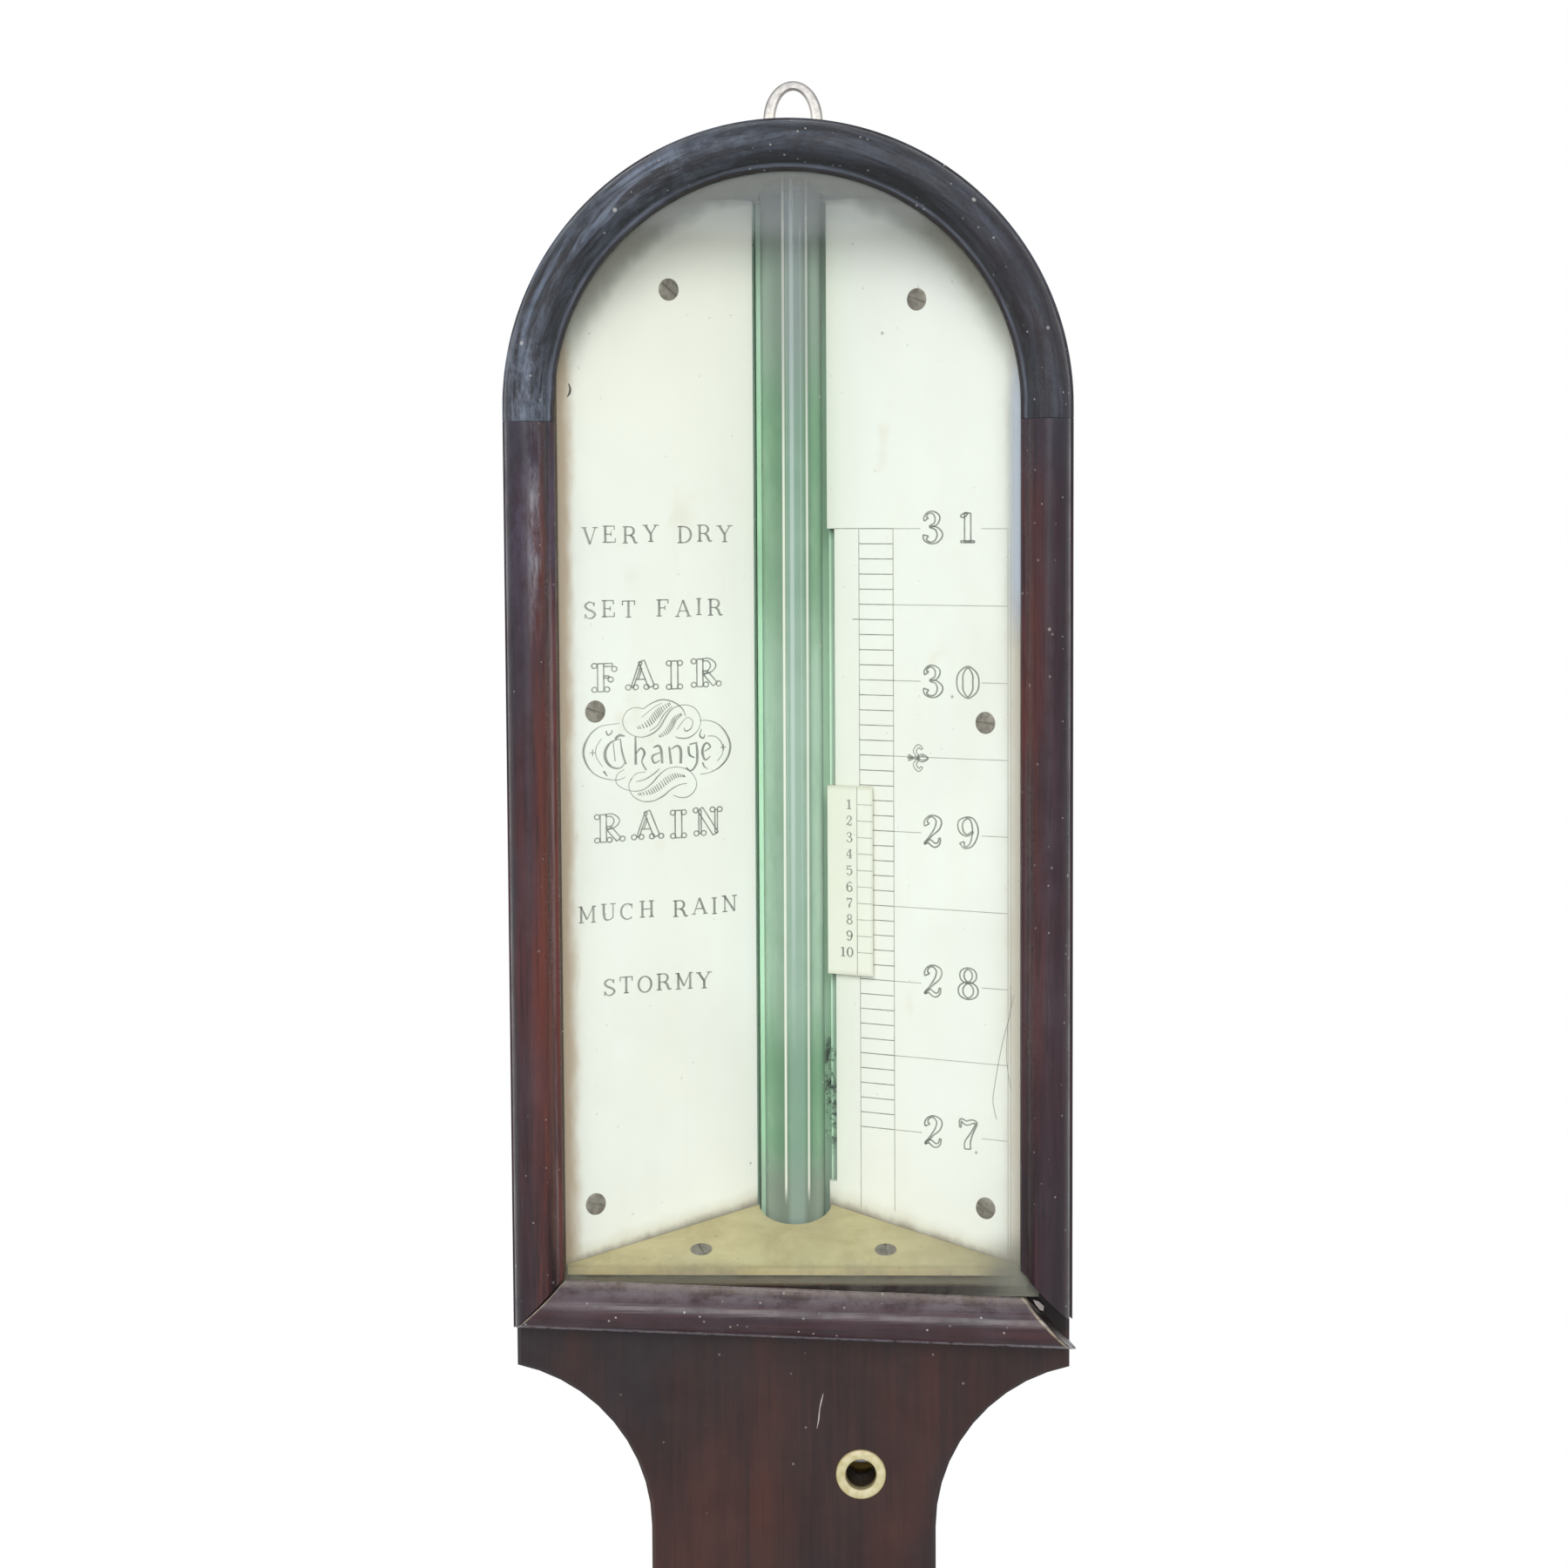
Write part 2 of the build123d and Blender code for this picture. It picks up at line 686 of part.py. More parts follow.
def pinion():
    """Ten involute teeth on a long hub, with one tooth pointing at the rack."""
    base_r = pitch_r * cos(radians(pressure_angle))
    tip_r = pitch_r + tooth_share * gear_module
    root_r = pitch_r - root_share * gear_module

    def involute(radius):
        lean = acos(min(base_r / radius, 1))
        return tan(lean) - lean

    at_base = (tooth_pitch / 2 - backlash) / (2 * pitch_r) + involute(pitch_r)
    flank = [(root_r - 0.1, at_base)] + [(r, at_base - involute(r)) for r in (base_r, pitch_r, tip_r)]
    tooth = flank + [(r, -angle) for r, angle in reversed(flank)]
    wheel = Circle(root_r)
    for i in range(pinion_teeth):
        turn = pi + 2 * pi * i / pinion_teeth
        wheel += outline([(r * cos(turn + a), r * sin(turn + a)) for r, a in tooth])
    middle = rack_d + rack_face / 2
    toothed = slab(Pos(key_x, key_z) * wheel, middle - pinion_face / 2, middle + pinion_face / 2)
    hub = pin(root_r, lining_front + hub_gap, bracket_front - bracket_t - hub_gap, key_x, key_z)
    return toothed + hub - pin(arbor_r, 0, face, key_x, key_z)


def pinion_arbor():
    """A steel arbor with a square at its front end for the key."""
    square_near = bracket_front + 0.5
    shank = pin(arbor_r, lining_front - bracket_t - 0.5, square_near, key_x, key_z)
    return shank + slab(Pos(key_x, key_z) * Rectangle(arbor_square, arbor_square),
                        square_near, face - bush_len - key_clear)


def pinion_bracket():
    """A bent brass strap: two cheeks that carry the arbor, joined by a web, and two ears."""
    left = wall_of_rack + pocket_gap
    right = pocket_side() - pocket_gap
    width = right - left
    middle = (left + right) / 2
    cheek = Pos(middle, key_z) * Rectangle(width, bracket_h)
    ears = Pos(middle, key_z) * Rectangle(width, 2 * ear_reach)
    back = lining_front - bracket_t
    strap = slab(ears, bracket_front - bracket_t, bracket_front) + slab(cheek, back, back + bracket_t)
    strap += slab(Pos(right - bracket_t / 2, key_z) * Rectangle(bracket_t, bracket_h), back, bracket_front)
    strap -= pin(arbor_r + arbor_run, 0, face, key_x, key_z)
    for seat in screw_seats(bracket_places(), ear_screw_len):
        strap -= seat
    return strap


def keyhole_bush():
    """A turned bone bush, a little proud of the face and bevelled round its rim."""
    bush = pin(bush_r, face - bush_len, face + bush_proud, key_x, key_z)
    rim = bush.faces().sort_by(Axis.Y)[0].edges()
    return chamfer(rim, bush_proud) - pin(bush_bore_r, 0, 2 * face, key_x, key_z)


# Tube, mercury and cistern

def tube_top():
    return arch_z + recess_half - ceiling_taper + socket_deep - cistern_gap


def glass_tube():
    """A straight tube, closed and rounded at the top and open at its foot in the mercury."""
    low = level_z - tube_dip
    top = tube_top()
    bore_top = top - 2 * tube_r
    return turned([(tube_bore_r, low), (tube_r, low), (tube_r, top - tube_r / 2), (tube_r * 0.7, top - tube_r / 8),
                   (0, top), (0, bore_top), (tube_bore_r, bore_top)])


def cistern_body():
    """The boxwood barrel, open at both ends."""
    inner = cistern_r - cistern_wall
    top = lid_top - lid_t
    return many_sided([(inner, body_bottom), (cistern_r, body_bottom), (cistern_r, top), (inner, top)],
                      barrel_sides, tube_depth)


def cistern_lid():
    """The lid: a disc with a spigot below, bored for the tube."""
    inner = cistern_r - cistern_wall - spigot_gap
    low = lid_top - lid_t
    disc = many_sided([(0, low - spigot), (inner, low - spigot), (inner, low), (cistern_r, low),
                       (cistern_r, lid_top), (0, lid_top)], barrel_sides, tube_depth)
    return disc - post(tube_r + tube_gap / 2, low - spigot - 1, lid_top + 1)


def tube_seal():
    """A leather washer that closes the joint between tube and lid."""
    hole = tube_r + tube_gap / 2
    return many_sided([(hole, lid_top), (tube_r + seal_w, lid_top), (tube_r + seal_w, lid_top + seal_h),
                       (hole, lid_top + seal_h)], soft_sides, tube_depth)


def cistern_base():
    """The lower cup, which holds the bag and the screw."""
    inner = bag_r + 4 * cistern_gap
    top = body_bottom - bag_rim
    floor = cistern_bottom + base_floor
    cup = many_sided([(0, cistern_bottom), (cistern_r, cistern_bottom), (cistern_r, top), (inner, top),
                      (inner, floor), (0, floor)], barrel_sides, tube_depth)
    return cup - post(screw_r + cistern_gap, cistern_bottom - 1, floor + 1)


def pool_in_bag():
    """The mercury inside the leather bag, below the joint of the cistern."""
    inside = bag_r - bag_t
    corner = bag_bottom + bag_foot + bag_t / 2
    return many_sided([(0, bag_bottom + bag_t), (inside - bag_foot, bag_bottom + bag_t), (inside, corner),
                       (inside, body_bottom), (0, body_bottom)], soft_sides, tube_depth)


def leather_bag():
    """The flexible bottom of the cistern: a bag with its rim held between body and base."""
    neck = body_bottom - bag_rim
    rim = cistern_r - cistern_gap
    outside = many_sided([(0, bag_bottom), (bag_r - bag_foot, bag_bottom), (bag_r, bag_bottom + bag_foot),
                          (bag_r, neck), (rim, neck), (rim, body_bottom), (0, body_bottom)],
                         soft_sides, tube_depth)
    return outside - pool_in_bag()


def mercury():
    """The mercury that fills bag and barrel up to the level that the scale counts from."""
    barrel = cistern_r - cistern_wall - spigot_gap
    pool = pool_in_bag() + many_sided([(0, body_bottom), (barrel, body_bottom), (barrel, level_z), (0, level_z)],
                                      soft_sides, tube_depth)
    foot = level_z - tube_dip
    hole = tube_r + tube_gap / 2
    core = tube_bore_r - screw_fit
    pool -= many_sided([(0, foot), (hole, foot), (hole, level_z), (0, level_z)], soft_sides, tube_depth)
    return pool + many_sided([(0, foot), (core, foot), (core, level_z), (0, level_z)], screw_sides, tube_depth)


def pressure_pad():
    return many_sided([(0, pad_top - pad_t), (pad_r, pad_top - pad_t), (pad_r, pad_top - 1),
                       (pad_r - 1, pad_top), (0, pad_top)], soft_sides, tube_depth)


def knob_top():
    return case_bottom - knob_gap


def portable_screw():
    """The screw that lifts the pad, plain where its thread runs in the bush."""
    low = knob_top() - knob_h * knob_socket
    return turned([(0, low), (screw_r, low), (screw_r, pad_top - pad_t), (0, pad_top - pad_t)])


def screw_knob():
    """A brass knob with flat-cut flutes round its waist for the fingers."""
    top = knob_top()
    low = top - knob_h
    shape = [(knob_r * 0.6, low), (knob_r, low + knob_h / 4), (knob_r, top - knob_h / 4),
             (knob_r * 0.6, top - knob_h / 8), (knob_r * 0.6, top)]
    knob = many_sided([(0, low)] + shape + [(0, top)], 2 * knob_flutes, tube_depth)
    for i in range(knob_flutes):
        notch = Pos(knob_r, 0, 0) * Rot(0, 0, 45) * Box(flute, flute, knob_h / 2)
        knob -= Pos(0, -tube_depth, low + knob_h / 2) * Rot(0, 0, 360 * i / knob_flutes) * notch
    return knob - post(screw_r, top - knob_h * knob_socket, top + 1)


def screw_bush():
    """The brass bush in the case's floor that the screw turns in."""
    hole = screw_r + screw_run
    flange = screw_bush_r + screw_bush_brim
    top = case_bottom + case_floor
    low = case_bottom - screw_bush_flange
    return many_sided([(hole, low), (flange, low), (flange, case_bottom), (screw_bush_r, case_bottom),
                       (screw_bush_r, top), (hole, top)], soft_sides, tube_depth)


def cistern_cover():
    """The turned cover: a hollow dome on a flange, with a button at its crown."""
    dome = cover_r - cover_flange
    inner = dome - cover_wall
    crown = cover_rise - cover_flange_t - cover_button_h
    bevel = cover_flange_t * 0.4
    path = [(inner, 0), (cover_r, 0), (cover_r, cover_flange_t - bevel), (cover_r - bevel, cover_flange_t)]
    for i in range(cover_facets):
        turn = radians(90 * i / cover_facets)
        path.append((dome * cos(turn), cover_flange_t + crown * sin(turn)))
    top = cover_rise - cover_button_h
    path += [(cover_button_r, top), (cover_button_r * 0.7, cover_rise), (0, cover_rise), (0, top - cover_wall),
             (inner * 0.6, top - cover_wall)]
    bowl = facing_front(0, cover_z) * many_sided(path, cover_sides)
    for seat in screw_seats(cover_places(), cover_screw_len):
        bowl -= seat
    return bowl


# Back of the case

def back_strip():
    top = recess_bottom + strip_over - cistern_gap
    strip = slab(Pos(0, (top + case_bottom) / 2) * Rectangle(strip_w, top - case_bottom), 0, strip_t)
    for seat in screw_seats(strip_places()):
        strip -= seat
    return strip


def hang_outline(gap=0.0):
    """The plate's outline below the eye: straight sides, a round foot and a narrow neck."""
    top = arch_z + head_half
    body_top = top - hang_in
    half = hang_w / 2
    body = Pos(0, body_top - hang_h / 2 + half / 2) * Rectangle(hang_w, hang_h - half)
    body += Pos(0, body_top - hang_h + half) * Circle(half)
    neck_top = top + 2 * edge_round
    neck = Pos(0, (body_top + neck_top) / 2) * Rectangle(2 * (eye_in_w + eye_rim), neck_top - body_top)
    return offset(body + neck, gap, kind=Kind.INTERSECTION) if gap else body + neck


def oval(half_w, half_h):
    """An upright oval round the eye's middle, many-sided to keep it light."""
    turns = [2 * pi * i / eye_sides for i in range(eye_sides)]
    return outline([(half_w * cos(t), half_h * sin(t) - eye_in_h) for t in turns])


def hanging_plate():
    """The plate let into the back of the head, with the eye that stands above the case."""
    ring = oval(eye_in_w + eye_rim, eye_in_h + eye_rim_top)
    plate_part = slab(hang_outline() + ring, 0, hang_t)
    plate_part -= slab(oval(eye_in_w, eye_in_h), -1, hang_t + 1)
    for seat in screw_seats(hang_places(), hang_screw_len):
        plate_part -= seat
    return plate_part


pieces = {
    "case_body": case_body,
    "arch_moulding": arch_moulding,
    "left_side_moulding": lambda: side_moulding(-1),
    "right_side_moulding": lambda: side_moulding(1),
    "bottom_rail": bottom_rail,
    "glass_pane": glass_pane,
    "left_register_block": lambda: block(-1),
    "right_register_block": lambda: block(1),
    "channel_lining": channel_lining,
    "left_register_plate": lambda: plate(-1),
    "right_register_plate": lambda: plate(1),
    "register_sill": register_sill,
    "brass_bottom_plate": brass_plate,
    "register_screws": lambda: screws(register_places()),
    "brass_plate_screws": lambda: screws(brass_places(), brass_screw_len),
    "vernier_plate": vernier_plate,
    "vernier_carrier": vernier_carrier,
    "rack_bar": rack_bar,
    "pinion": pinion,
    "pinion_arbor": pinion_arbor,
    "pinion_bracket": pinion_bracket,
    "bracket_screws": lambda: screws(bracket_places(), ear_screw_len),
    "keyhole_bush": keyhole_bush,
    "glass_tube": glass_tube,
    "mercury": mercury,
    "tube_seal": tube_seal,
    "cistern_lid": cistern_lid,
    "cistern_body": cistern_body,
    "cistern_base": cistern_base,
    "leather_bag": leather_bag,
    "pressure_pad": pressure_pad,
    "portable_screw": portable_screw,
    "screw_knob": screw_knob,
    "screw_bush": screw_bush,
    "cistern_cover": cistern_cover,
    "cover_screws": lambda: screws(cover_places(), cover_screw_len),
    "back_strip": back_strip,
    "back_strip_screws": lambda: screws(strip_places()),
    "hanging_plate": hanging_plate,
    "hanging_plate_screws": lambda: screws(hang_places(), hang_screw_len),
}

os.makedirs("parts", exist_ok=True)
for name, make in pieces.items():
    solid = make()
    export_step(solid, f"parts/{name}.step")
    print(name, len(solid.solids()), round(solid.volume, 1))
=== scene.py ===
"""Looks for a stick barometer: its polished case, bone register, glass and brass.

Metres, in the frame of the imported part: X to the right, Y back to the wall, Z up,
with zero at the top inside edge of the hanging eye.
"""
from math import atan2, cos, pi, radians, sin, sqrt, tan

import bpy
from mathutils import Matrix, Vector


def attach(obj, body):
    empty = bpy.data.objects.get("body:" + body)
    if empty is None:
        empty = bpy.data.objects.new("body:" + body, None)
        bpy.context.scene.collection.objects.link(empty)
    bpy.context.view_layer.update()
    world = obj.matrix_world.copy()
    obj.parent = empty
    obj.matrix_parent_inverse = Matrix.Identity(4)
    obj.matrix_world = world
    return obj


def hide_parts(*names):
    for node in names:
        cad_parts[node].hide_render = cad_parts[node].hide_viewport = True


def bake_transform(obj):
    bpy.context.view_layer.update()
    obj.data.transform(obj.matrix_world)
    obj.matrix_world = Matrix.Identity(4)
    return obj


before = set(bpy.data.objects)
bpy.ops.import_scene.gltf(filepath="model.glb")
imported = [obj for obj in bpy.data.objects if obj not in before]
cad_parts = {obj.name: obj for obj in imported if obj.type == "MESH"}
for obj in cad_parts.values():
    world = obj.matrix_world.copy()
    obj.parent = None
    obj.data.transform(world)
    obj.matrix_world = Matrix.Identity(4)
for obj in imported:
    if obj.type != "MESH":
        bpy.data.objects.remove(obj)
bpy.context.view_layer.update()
mm = 0.001


# The view: a camera close to the head, level with its middle and a little to its right.
# Its place and lens were worked out from the spacing of the inch lines on the register.
bpy.ops.object.select_all(action="DESELECT")
bpy.ops.object.camera_add(location=(0.01864, -0.59895, -0.06889),
                          rotation=(radians(85.145), radians(0.32), radians(1.968)))
camera = bpy.context.object
camera.name = "view_of_the_head"
camera.data.lens = 78.8
camera.data.sensor_width = 36
bpy.context.scene.camera = camera
bpy.context.scene.view_settings.view_transform = "Standard"


# The studio: a pale floor well below the instrument, even light from all round, and one
# large soft lamp in front of it, above and to the left. What lies behind shows white.
def paint(code):
    """A colour written as six hexadecimal digits, as the shaders want it."""
    levels = [int(code[i:i + 2], 16) / 255 for i in (0, 2, 4)]
    return tuple(v / 12.92 if v < 0.04045 else ((v + 0.055) / 1.055) ** 2.4 for v in levels) + (1,)


def work_on(tree):
    """Every node made from here on goes into this tree."""
    global at_work
    at_work = tree


def feed(node, name, value):
    """Gives a node's input a value: a plain one, or one that other nodes work out."""
    value = getattr(value, "socket", value)
    if isinstance(value, bpy.types.NodeSocket):
        at_work.links.new(value, node.inputs[name])
    else:
        node.inputs[name].default_value = value


def add_node(kind, settings=None, **inputs):
    """A new shader node; each input is another node's socket or a plain value."""
    made = at_work.nodes.new("ShaderNode" + kind)
    for key, value in (settings or {}).items():
        setattr(made, key, value)
    for key, value in inputs.items():
        feed(made, int(key[1:]) if key[1:].isdigit() else key.replace("_", " "), value)
    return made


def calc(operation, a, b=0.0):
    return Value(add_node("Math", {"operation": operation}, i0=a, i1=b).outputs[0])


class Value:
    """A number that nodes work out at each point; it adds and compares as numbers do."""

    def __init__(self, socket):
        self.socket = socket

    def __add__(self, other):
        return calc("ADD", self, other)

    def __sub__(self, other):
        return calc("SUBTRACT", self, other)

    def __mul__(self, other):
        return calc("MULTIPLY", self, other)

    def __lt__(self, other):
        return calc("LESS_THAN", self, other)

    def __gt__(self, other):
        return calc("GREATER_THAN", self, other)

    def __abs__(self):
        return calc("ABSOLUTE", self)

    __rmul__ = __mul__


room = bpy.data.worlds.new("studio")
bpy.context.scene.world = room
room.use_nodes = True
room.node_tree.nodes.clear()
work_on(room.node_tree)
rays = add_node("LightPath")
seen = calc("MAXIMUM", rays.outputs["Is Camera Ray"], rays.outputs["Is Transmission Ray"])
seen = calc("MAXIMUM", seen, rays.outputs["Is Glossy Ray"])
white = add_node("Background", Color=(1, 1, 1, 1), Strength=1.0)
ambient = add_node("Background", Color=(0.97, 0.985, 1, 1), Strength=0.5)
either = add_node("MixShader", i0=seen, i1=ambient.outputs[0], i2=white.outputs[0])
add_node("OutputWorld", Surface=either.outputs[0])

bpy.ops.object.select_all(action="DESELECT")
bpy.ops.object.light_add(type="AREA", location=(-0.08, -2.4, 0.9))
lamp = bpy.context.object
lamp.name = "soft_lamp"
lamp.data.shape = "DISK"
lamp.data.size = 1.6
lamp.data.energy = 53
lamp.rotation_euler = (Vector((0, 0, -0.2)) - lamp.location).to_track_quat("-Z", "Y").to_euler()

bpy.ops.object.select_all(action="DESELECT")
bpy.ops.mesh.primitive_circle_add(vertices=96, radius=1.3, fill_type="NGON", location=(0, 0, -1.2))
floor = bpy.context.object
floor.name = "pale_floor"
floor_finish = bpy.data.materials.new("pale_floor")
floor_finish.use_nodes = True
floor_shader = floor_finish.node_tree.nodes["Principled BSDF"]
floor_shader.inputs["Base Color"].default_value = paint("f2f2ef")
floor_shader.inputs["Roughness"].default_value = 0.9
floor.data.materials.append(floor_finish)


# The case: one thick board hollowed from the front for the register, its edges sanded
# round, stained dark and polished, with the grain upright. The hollow is raw and dusty.
arch_z = -55.1 * mm           # centre of the head's round top
face = -38 * mm               # the case's front
hollow_half = 39.2 * mm
hollow_foot = -200.2 * mm


def new_finish(name, roughness=0.5, metallic=0.0):
    made = bpy.data.materials.new(name)
    made.use_nodes = True
    work_on(made.node_tree)
    shader = made.node_tree.nodes["Principled BSDF"]
    shader.inputs["Roughness"].default_value = roughness
    shader.inputs["Metallic"].default_value = metallic
    return made, shader


def spot_on(stretch=(1, 1, 1)):
    """Where a point is on the piece, in metres, squeezed along each axis by stretch."""
    place = add_node("TexCoord").outputs["Object"]
    return add_node("Mapping", Vector=place, Scale=stretch).outputs[0]


def axes():
    place = add_node("TexCoord").outputs["Object"]
    return [Value(each) for each in add_node("SeparateXYZ", Vector=place).outputs]


def noise(place, scale, detail=4.0, rough=0.55, twist=0.0):
    return Value(add_node("TexNoise", Vector=place, Scale=scale, Detail=detail,
                          Roughness=rough, Distortion=twist).outputs["Fac"])


def mix(share, a, b):
    """Colour a turned to colour b by share; a colour may be six hexadecimal digits."""
    a, b = (paint(each) if isinstance(each, str) else each for each in (a, b))
    return add_node("Mix", {"data_type": "RGBA"}, i0=share, i6=a, i7=b).outputs[2]


def ramp(value, low, high, a=0.0, b=1.0):
    """Goes smoothly from a to b as value goes from low to high."""
    return Value(add_node("MapRange", {"interpolation_type": "SMOOTHSTEP"},
                          i0=value, i1=low, i2=high, i3=a, i4=b).outputs[0])


def relief(shader, height, depth):
    """Bumps on the surface, depth metres high."""
    bump = add_node("Bump", Height=height, Distance=depth, Strength=1.0)
    feed(shader, "Normal", bump.outputs[0])


def specks(place, scale, size, few=0.8):
    """Small round spots, scattered at random."""
    cells = add_node("TexVoronoi", Vector=place, Scale=scale)
    draw = Value(add_node("SeparateColor", Color=cells.outputs["Color"]).outputs[0])
    return ramp(cells.outputs["Distance"], size * 0.4, size, 1, 0) * (draw > few)


def dusted(wood, spots, few, share, code):
    """The wood's colour with dust caught on it, in spots of (scale, size)."""
    for scale, size in spots:
        wood = mix(specks(spot_on(), scale, size, few) * share, wood, code)
    return wood


def off_line(across, up):
    """Distance from a line that runs square to both."""
    return calc("SQRT", across * across + up * up)


def from_arch():
    """Distance from the head's middle line, or above its centre from the arch's centre."""
    x, y, z = axes()
    above = calc("MAXIMUM", z - arch_z, 0.0)
    return off_line(x, above), above


def polished_wood(name, dark, mid, red, along=(1, 1, 0.04), bloom=0.0, bloom_colour="6f7684",
                  shine=0.32):
    """Stained wood: fine streaks along the grain, broad patches of red, pores, bloom and dust."""
    made, shader = new_finish(name, shine)
    plain_place = spot_on()
    long_place = spot_on(tuple(1 if a == 1 else 0.35 for a in along))
    streak = noise(spot_on(along), 900, 8, 0.66, 0.4)
    band = noise(spot_on(along), 170, 3, 0.5, 0.8)
    patch = noise(long_place, 38, 4, 0.6)
    colour = mix(ramp(streak, 0.26, 0.76), dark, mid)
    redder = ramp(patch, 0.44, 0.7) * ramp(band, 0.32, 0.62)
    colour = mix(redder, colour, red)
    pores = noise(spot_on(tuple(1 if a == 1 else 0.03 for a in along)), 2600, 2, 0.5)
    colour = mix(ramp(pores, 0.58, 0.74, 0, 0.35), colour, "140c0d")
    haze = ramp(noise(plain_place, 60, 5, 0.65), 0.42, 0.75) * bloom
    colour = mix(haze, colour, bloom_colour)
    colour = mix(specks(plain_place, 420, 0.12) * 0.5, colour, "9a9690")
    worn = ramp(noise(plain_place, 90, 6, 0.7), 0.3, 0.75, shine - 0.08, shine + 0.2)
    feed(shader, "Roughness", worn)
    shader.inputs["Specular IOR Level"].default_value = 0.3
    relief(shader, streak * 0.5 + pores, 0.00004)
    feed(shader, "Base Color", colour)
    return made, shader, colour


def dress(finish, *nodes):
    for node in nodes:
        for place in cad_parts[node].material_slots:
            place.material = finish


case_wood, shader, wood = polished_wood("case_wood", "241617", "331f1d", "46261f")
from_middle, above = from_arch()
x, y, z = axes()
inside = ((from_middle < hollow_half + 1.2 * mm) * (z > hollow_foot - 0.6 * mm)
          * (y > face + 0.1 * mm) * (y < -0.5 * mm))
dust = mix(noise(spot_on(), 160, 5, 0.7), "4c4d47", "72746b")
dust = mix(ramp(z, -66 * mm, -92 * mm), dust, "5a4633")
smoky = noise(spot_on((1, 1, 0.5)), 32, 5, 0.6)
wood = mix(ramp(smoky, 0.48, 0.66, 0, 0.6), wood, "1b1b21")
# Painted shade: the case face seen through the open right mitre, under the dropped rail, is painted
# near black.
open_corner_shade = ramp(x, 37.6 * mm, 38.6 * mm) * ramp(z, -208.2 * mm, -207.4 * mm)
wood = mix(open_corner_shade * 0.85, wood, "100e0d")
feed(shader, "Base Color", mix(inside, wood, dust))
dress(case_wood, "case_body")


# The moulding round the glass: a half-round strip with a small step at its inner edge,
# bent round the arch in one piece, butted on the sides and mitred at the foot.
moulding_w = 8.6 * mm
moulding_out = 46.4 * mm      # outer edge, from the middle
sight = moulding_out - moulding_w
side_foot = -207.1 * mm       # outer corner of the left mitre
arch_foot = arch_z - 2.1 * mm
right_short = 1.6 * mm        # the right side ends this much higher
round_steps = 26
arch_steps = 96


def circle_through(a, b, c):
    """Centre and radius of the circle through three points."""
    d = 2 * (a[0] * (b[1] - c[1]) + b[0] * (c[1] - a[1]) + c[0] * (a[1] - b[1]))
    aa, bb, cc = (p[0] ** 2 + p[1] ** 2 for p in (a, b, c))
    ux = (aa * (b[1] - c[1]) + bb * (c[1] - a[1]) + cc * (a[1] - b[1])) / d
    uy = (aa * (c[0] - b[0]) + bb * (a[0] - c[0]) + cc * (b[0] - a[0])) / d
    return ux, uy, sqrt((a[0] - ux) ** 2 + (a[1] - uy) ** 2)


def section_points():
    """The strip's section in mm: out from the sight edge, and up from the case."""
    start, end = (1.2, 4.2), (7.5, 1.6)
    ux, uy, radius = circle_through(start, ((start[0] + end[0]) / 2, 6.8), end)
    first, last = atan2(start[1] - uy, start[0] - ux), atan2(end[1] - uy, end[0] - ux)
    points = [(3.2, 0), (3.2, 2.2), (0, 2.2), (0, 2.7), (0.15, 3.0), (0.8, 3.35), (1.05, 3.7)]
    for i in range(round_steps + 1):
        turn = first + (last - first) * i / round_steps
        points.append((ux + radius * cos(turn), uy + radius * sin(turn)))
    return points + [(8.3, 1.35), (8.6, 1.1), (8.6, 0)]


def begin(add, **settings):
    """Adds a primitive on its own and gives it back."""
    if bpy.context.mode != "OBJECT":
        bpy.ops.object.mode_set(mode="OBJECT")
    bpy.ops.object.select_all(action="DESELECT")
    add(**settings)
    return bpy.context.object


def flat_piece(name, corners, filled=True):
    """A flat outline with its corners at the given places, open for editing."""
    piece = begin(bpy.ops.mesh.primitive_circle_add, vertices=len(corners), radius=0.01,
                  fill_type="NGON" if filled else "NOTHING")
    piece.name = name
    for corner, place in zip(piece.data.vertices, corners):
        corner.co = Vector(place) - piece.location
    edit(piece)
    return piece


def pick(*pieces):
    bpy.ops.object.select_all(action="DESELECT")
    for piece in pieces:
        piece.select_set(True)
    bpy.context.view_layer.objects.active = pieces[0]


def edit(piece):
    pick(piece)
    bpy.ops.object.mode_set(mode="EDIT")
    bpy.ops.mesh.select_all(action="SELECT")


def close_up(piece, smooth=35):
    """Merges doubles, turns the faces outwards and rounds the shading of the soft edges."""
    if bpy.context.mode != "EDIT_MESH":
        edit(piece)
    bpy.ops.mesh.select_all(action="SELECT")
    bpy.ops.mesh.remove_doubles(threshold=1e-6)
    bpy.ops.mesh.delete_loose()
    bpy.ops.mesh.select_all(action="SELECT")
    bpy.ops.mesh.normals_make_consistent(inside=False)
    bpy.ops.object.mode_set(mode="OBJECT")
    bpy.ops.object.transform_apply(location=True, rotation=True, scale=True)
    bpy.ops.object.shade_smooth_by_angle(angle=radians(smooth))


def soften(piece, width, segments=2, angle=40):
    """Takes the sharpness off the edges, as sanding and handling do."""
    bevel = piece.modifiers.new("soft_edges", "BEVEL")
    bevel.width = width
    bevel.segments = segments
    bevel.limit_method = "ANGLE"
    bevel.angle_limit = radians(angle)
    pick(piece)
    bpy.ops.object.modifier_apply(modifier=bevel.name)


def extrude(x=0.0, y=0.0, z=0.0):
    bpy.ops.mesh.extrude_region_move(TRANSFORM_OT_translate={"value": (x, y, z)})


def cut(point, normal):
    """Cuts the piece being edited by a plane and fills the cut; what lies beyond goes."""
    bpy.ops.mesh.select_all(action="SELECT")
    bpy.ops.mesh.bisect(plane_co=point, plane_no=normal, use_fill=True, clear_outer=True)


def finish_piece(piece, finish, body, slot, *nodes):
    piece.data.materials.clear()
    piece.data.materials.append(finish)
    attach(piece, body)
    if nodes:
        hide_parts(*nodes)


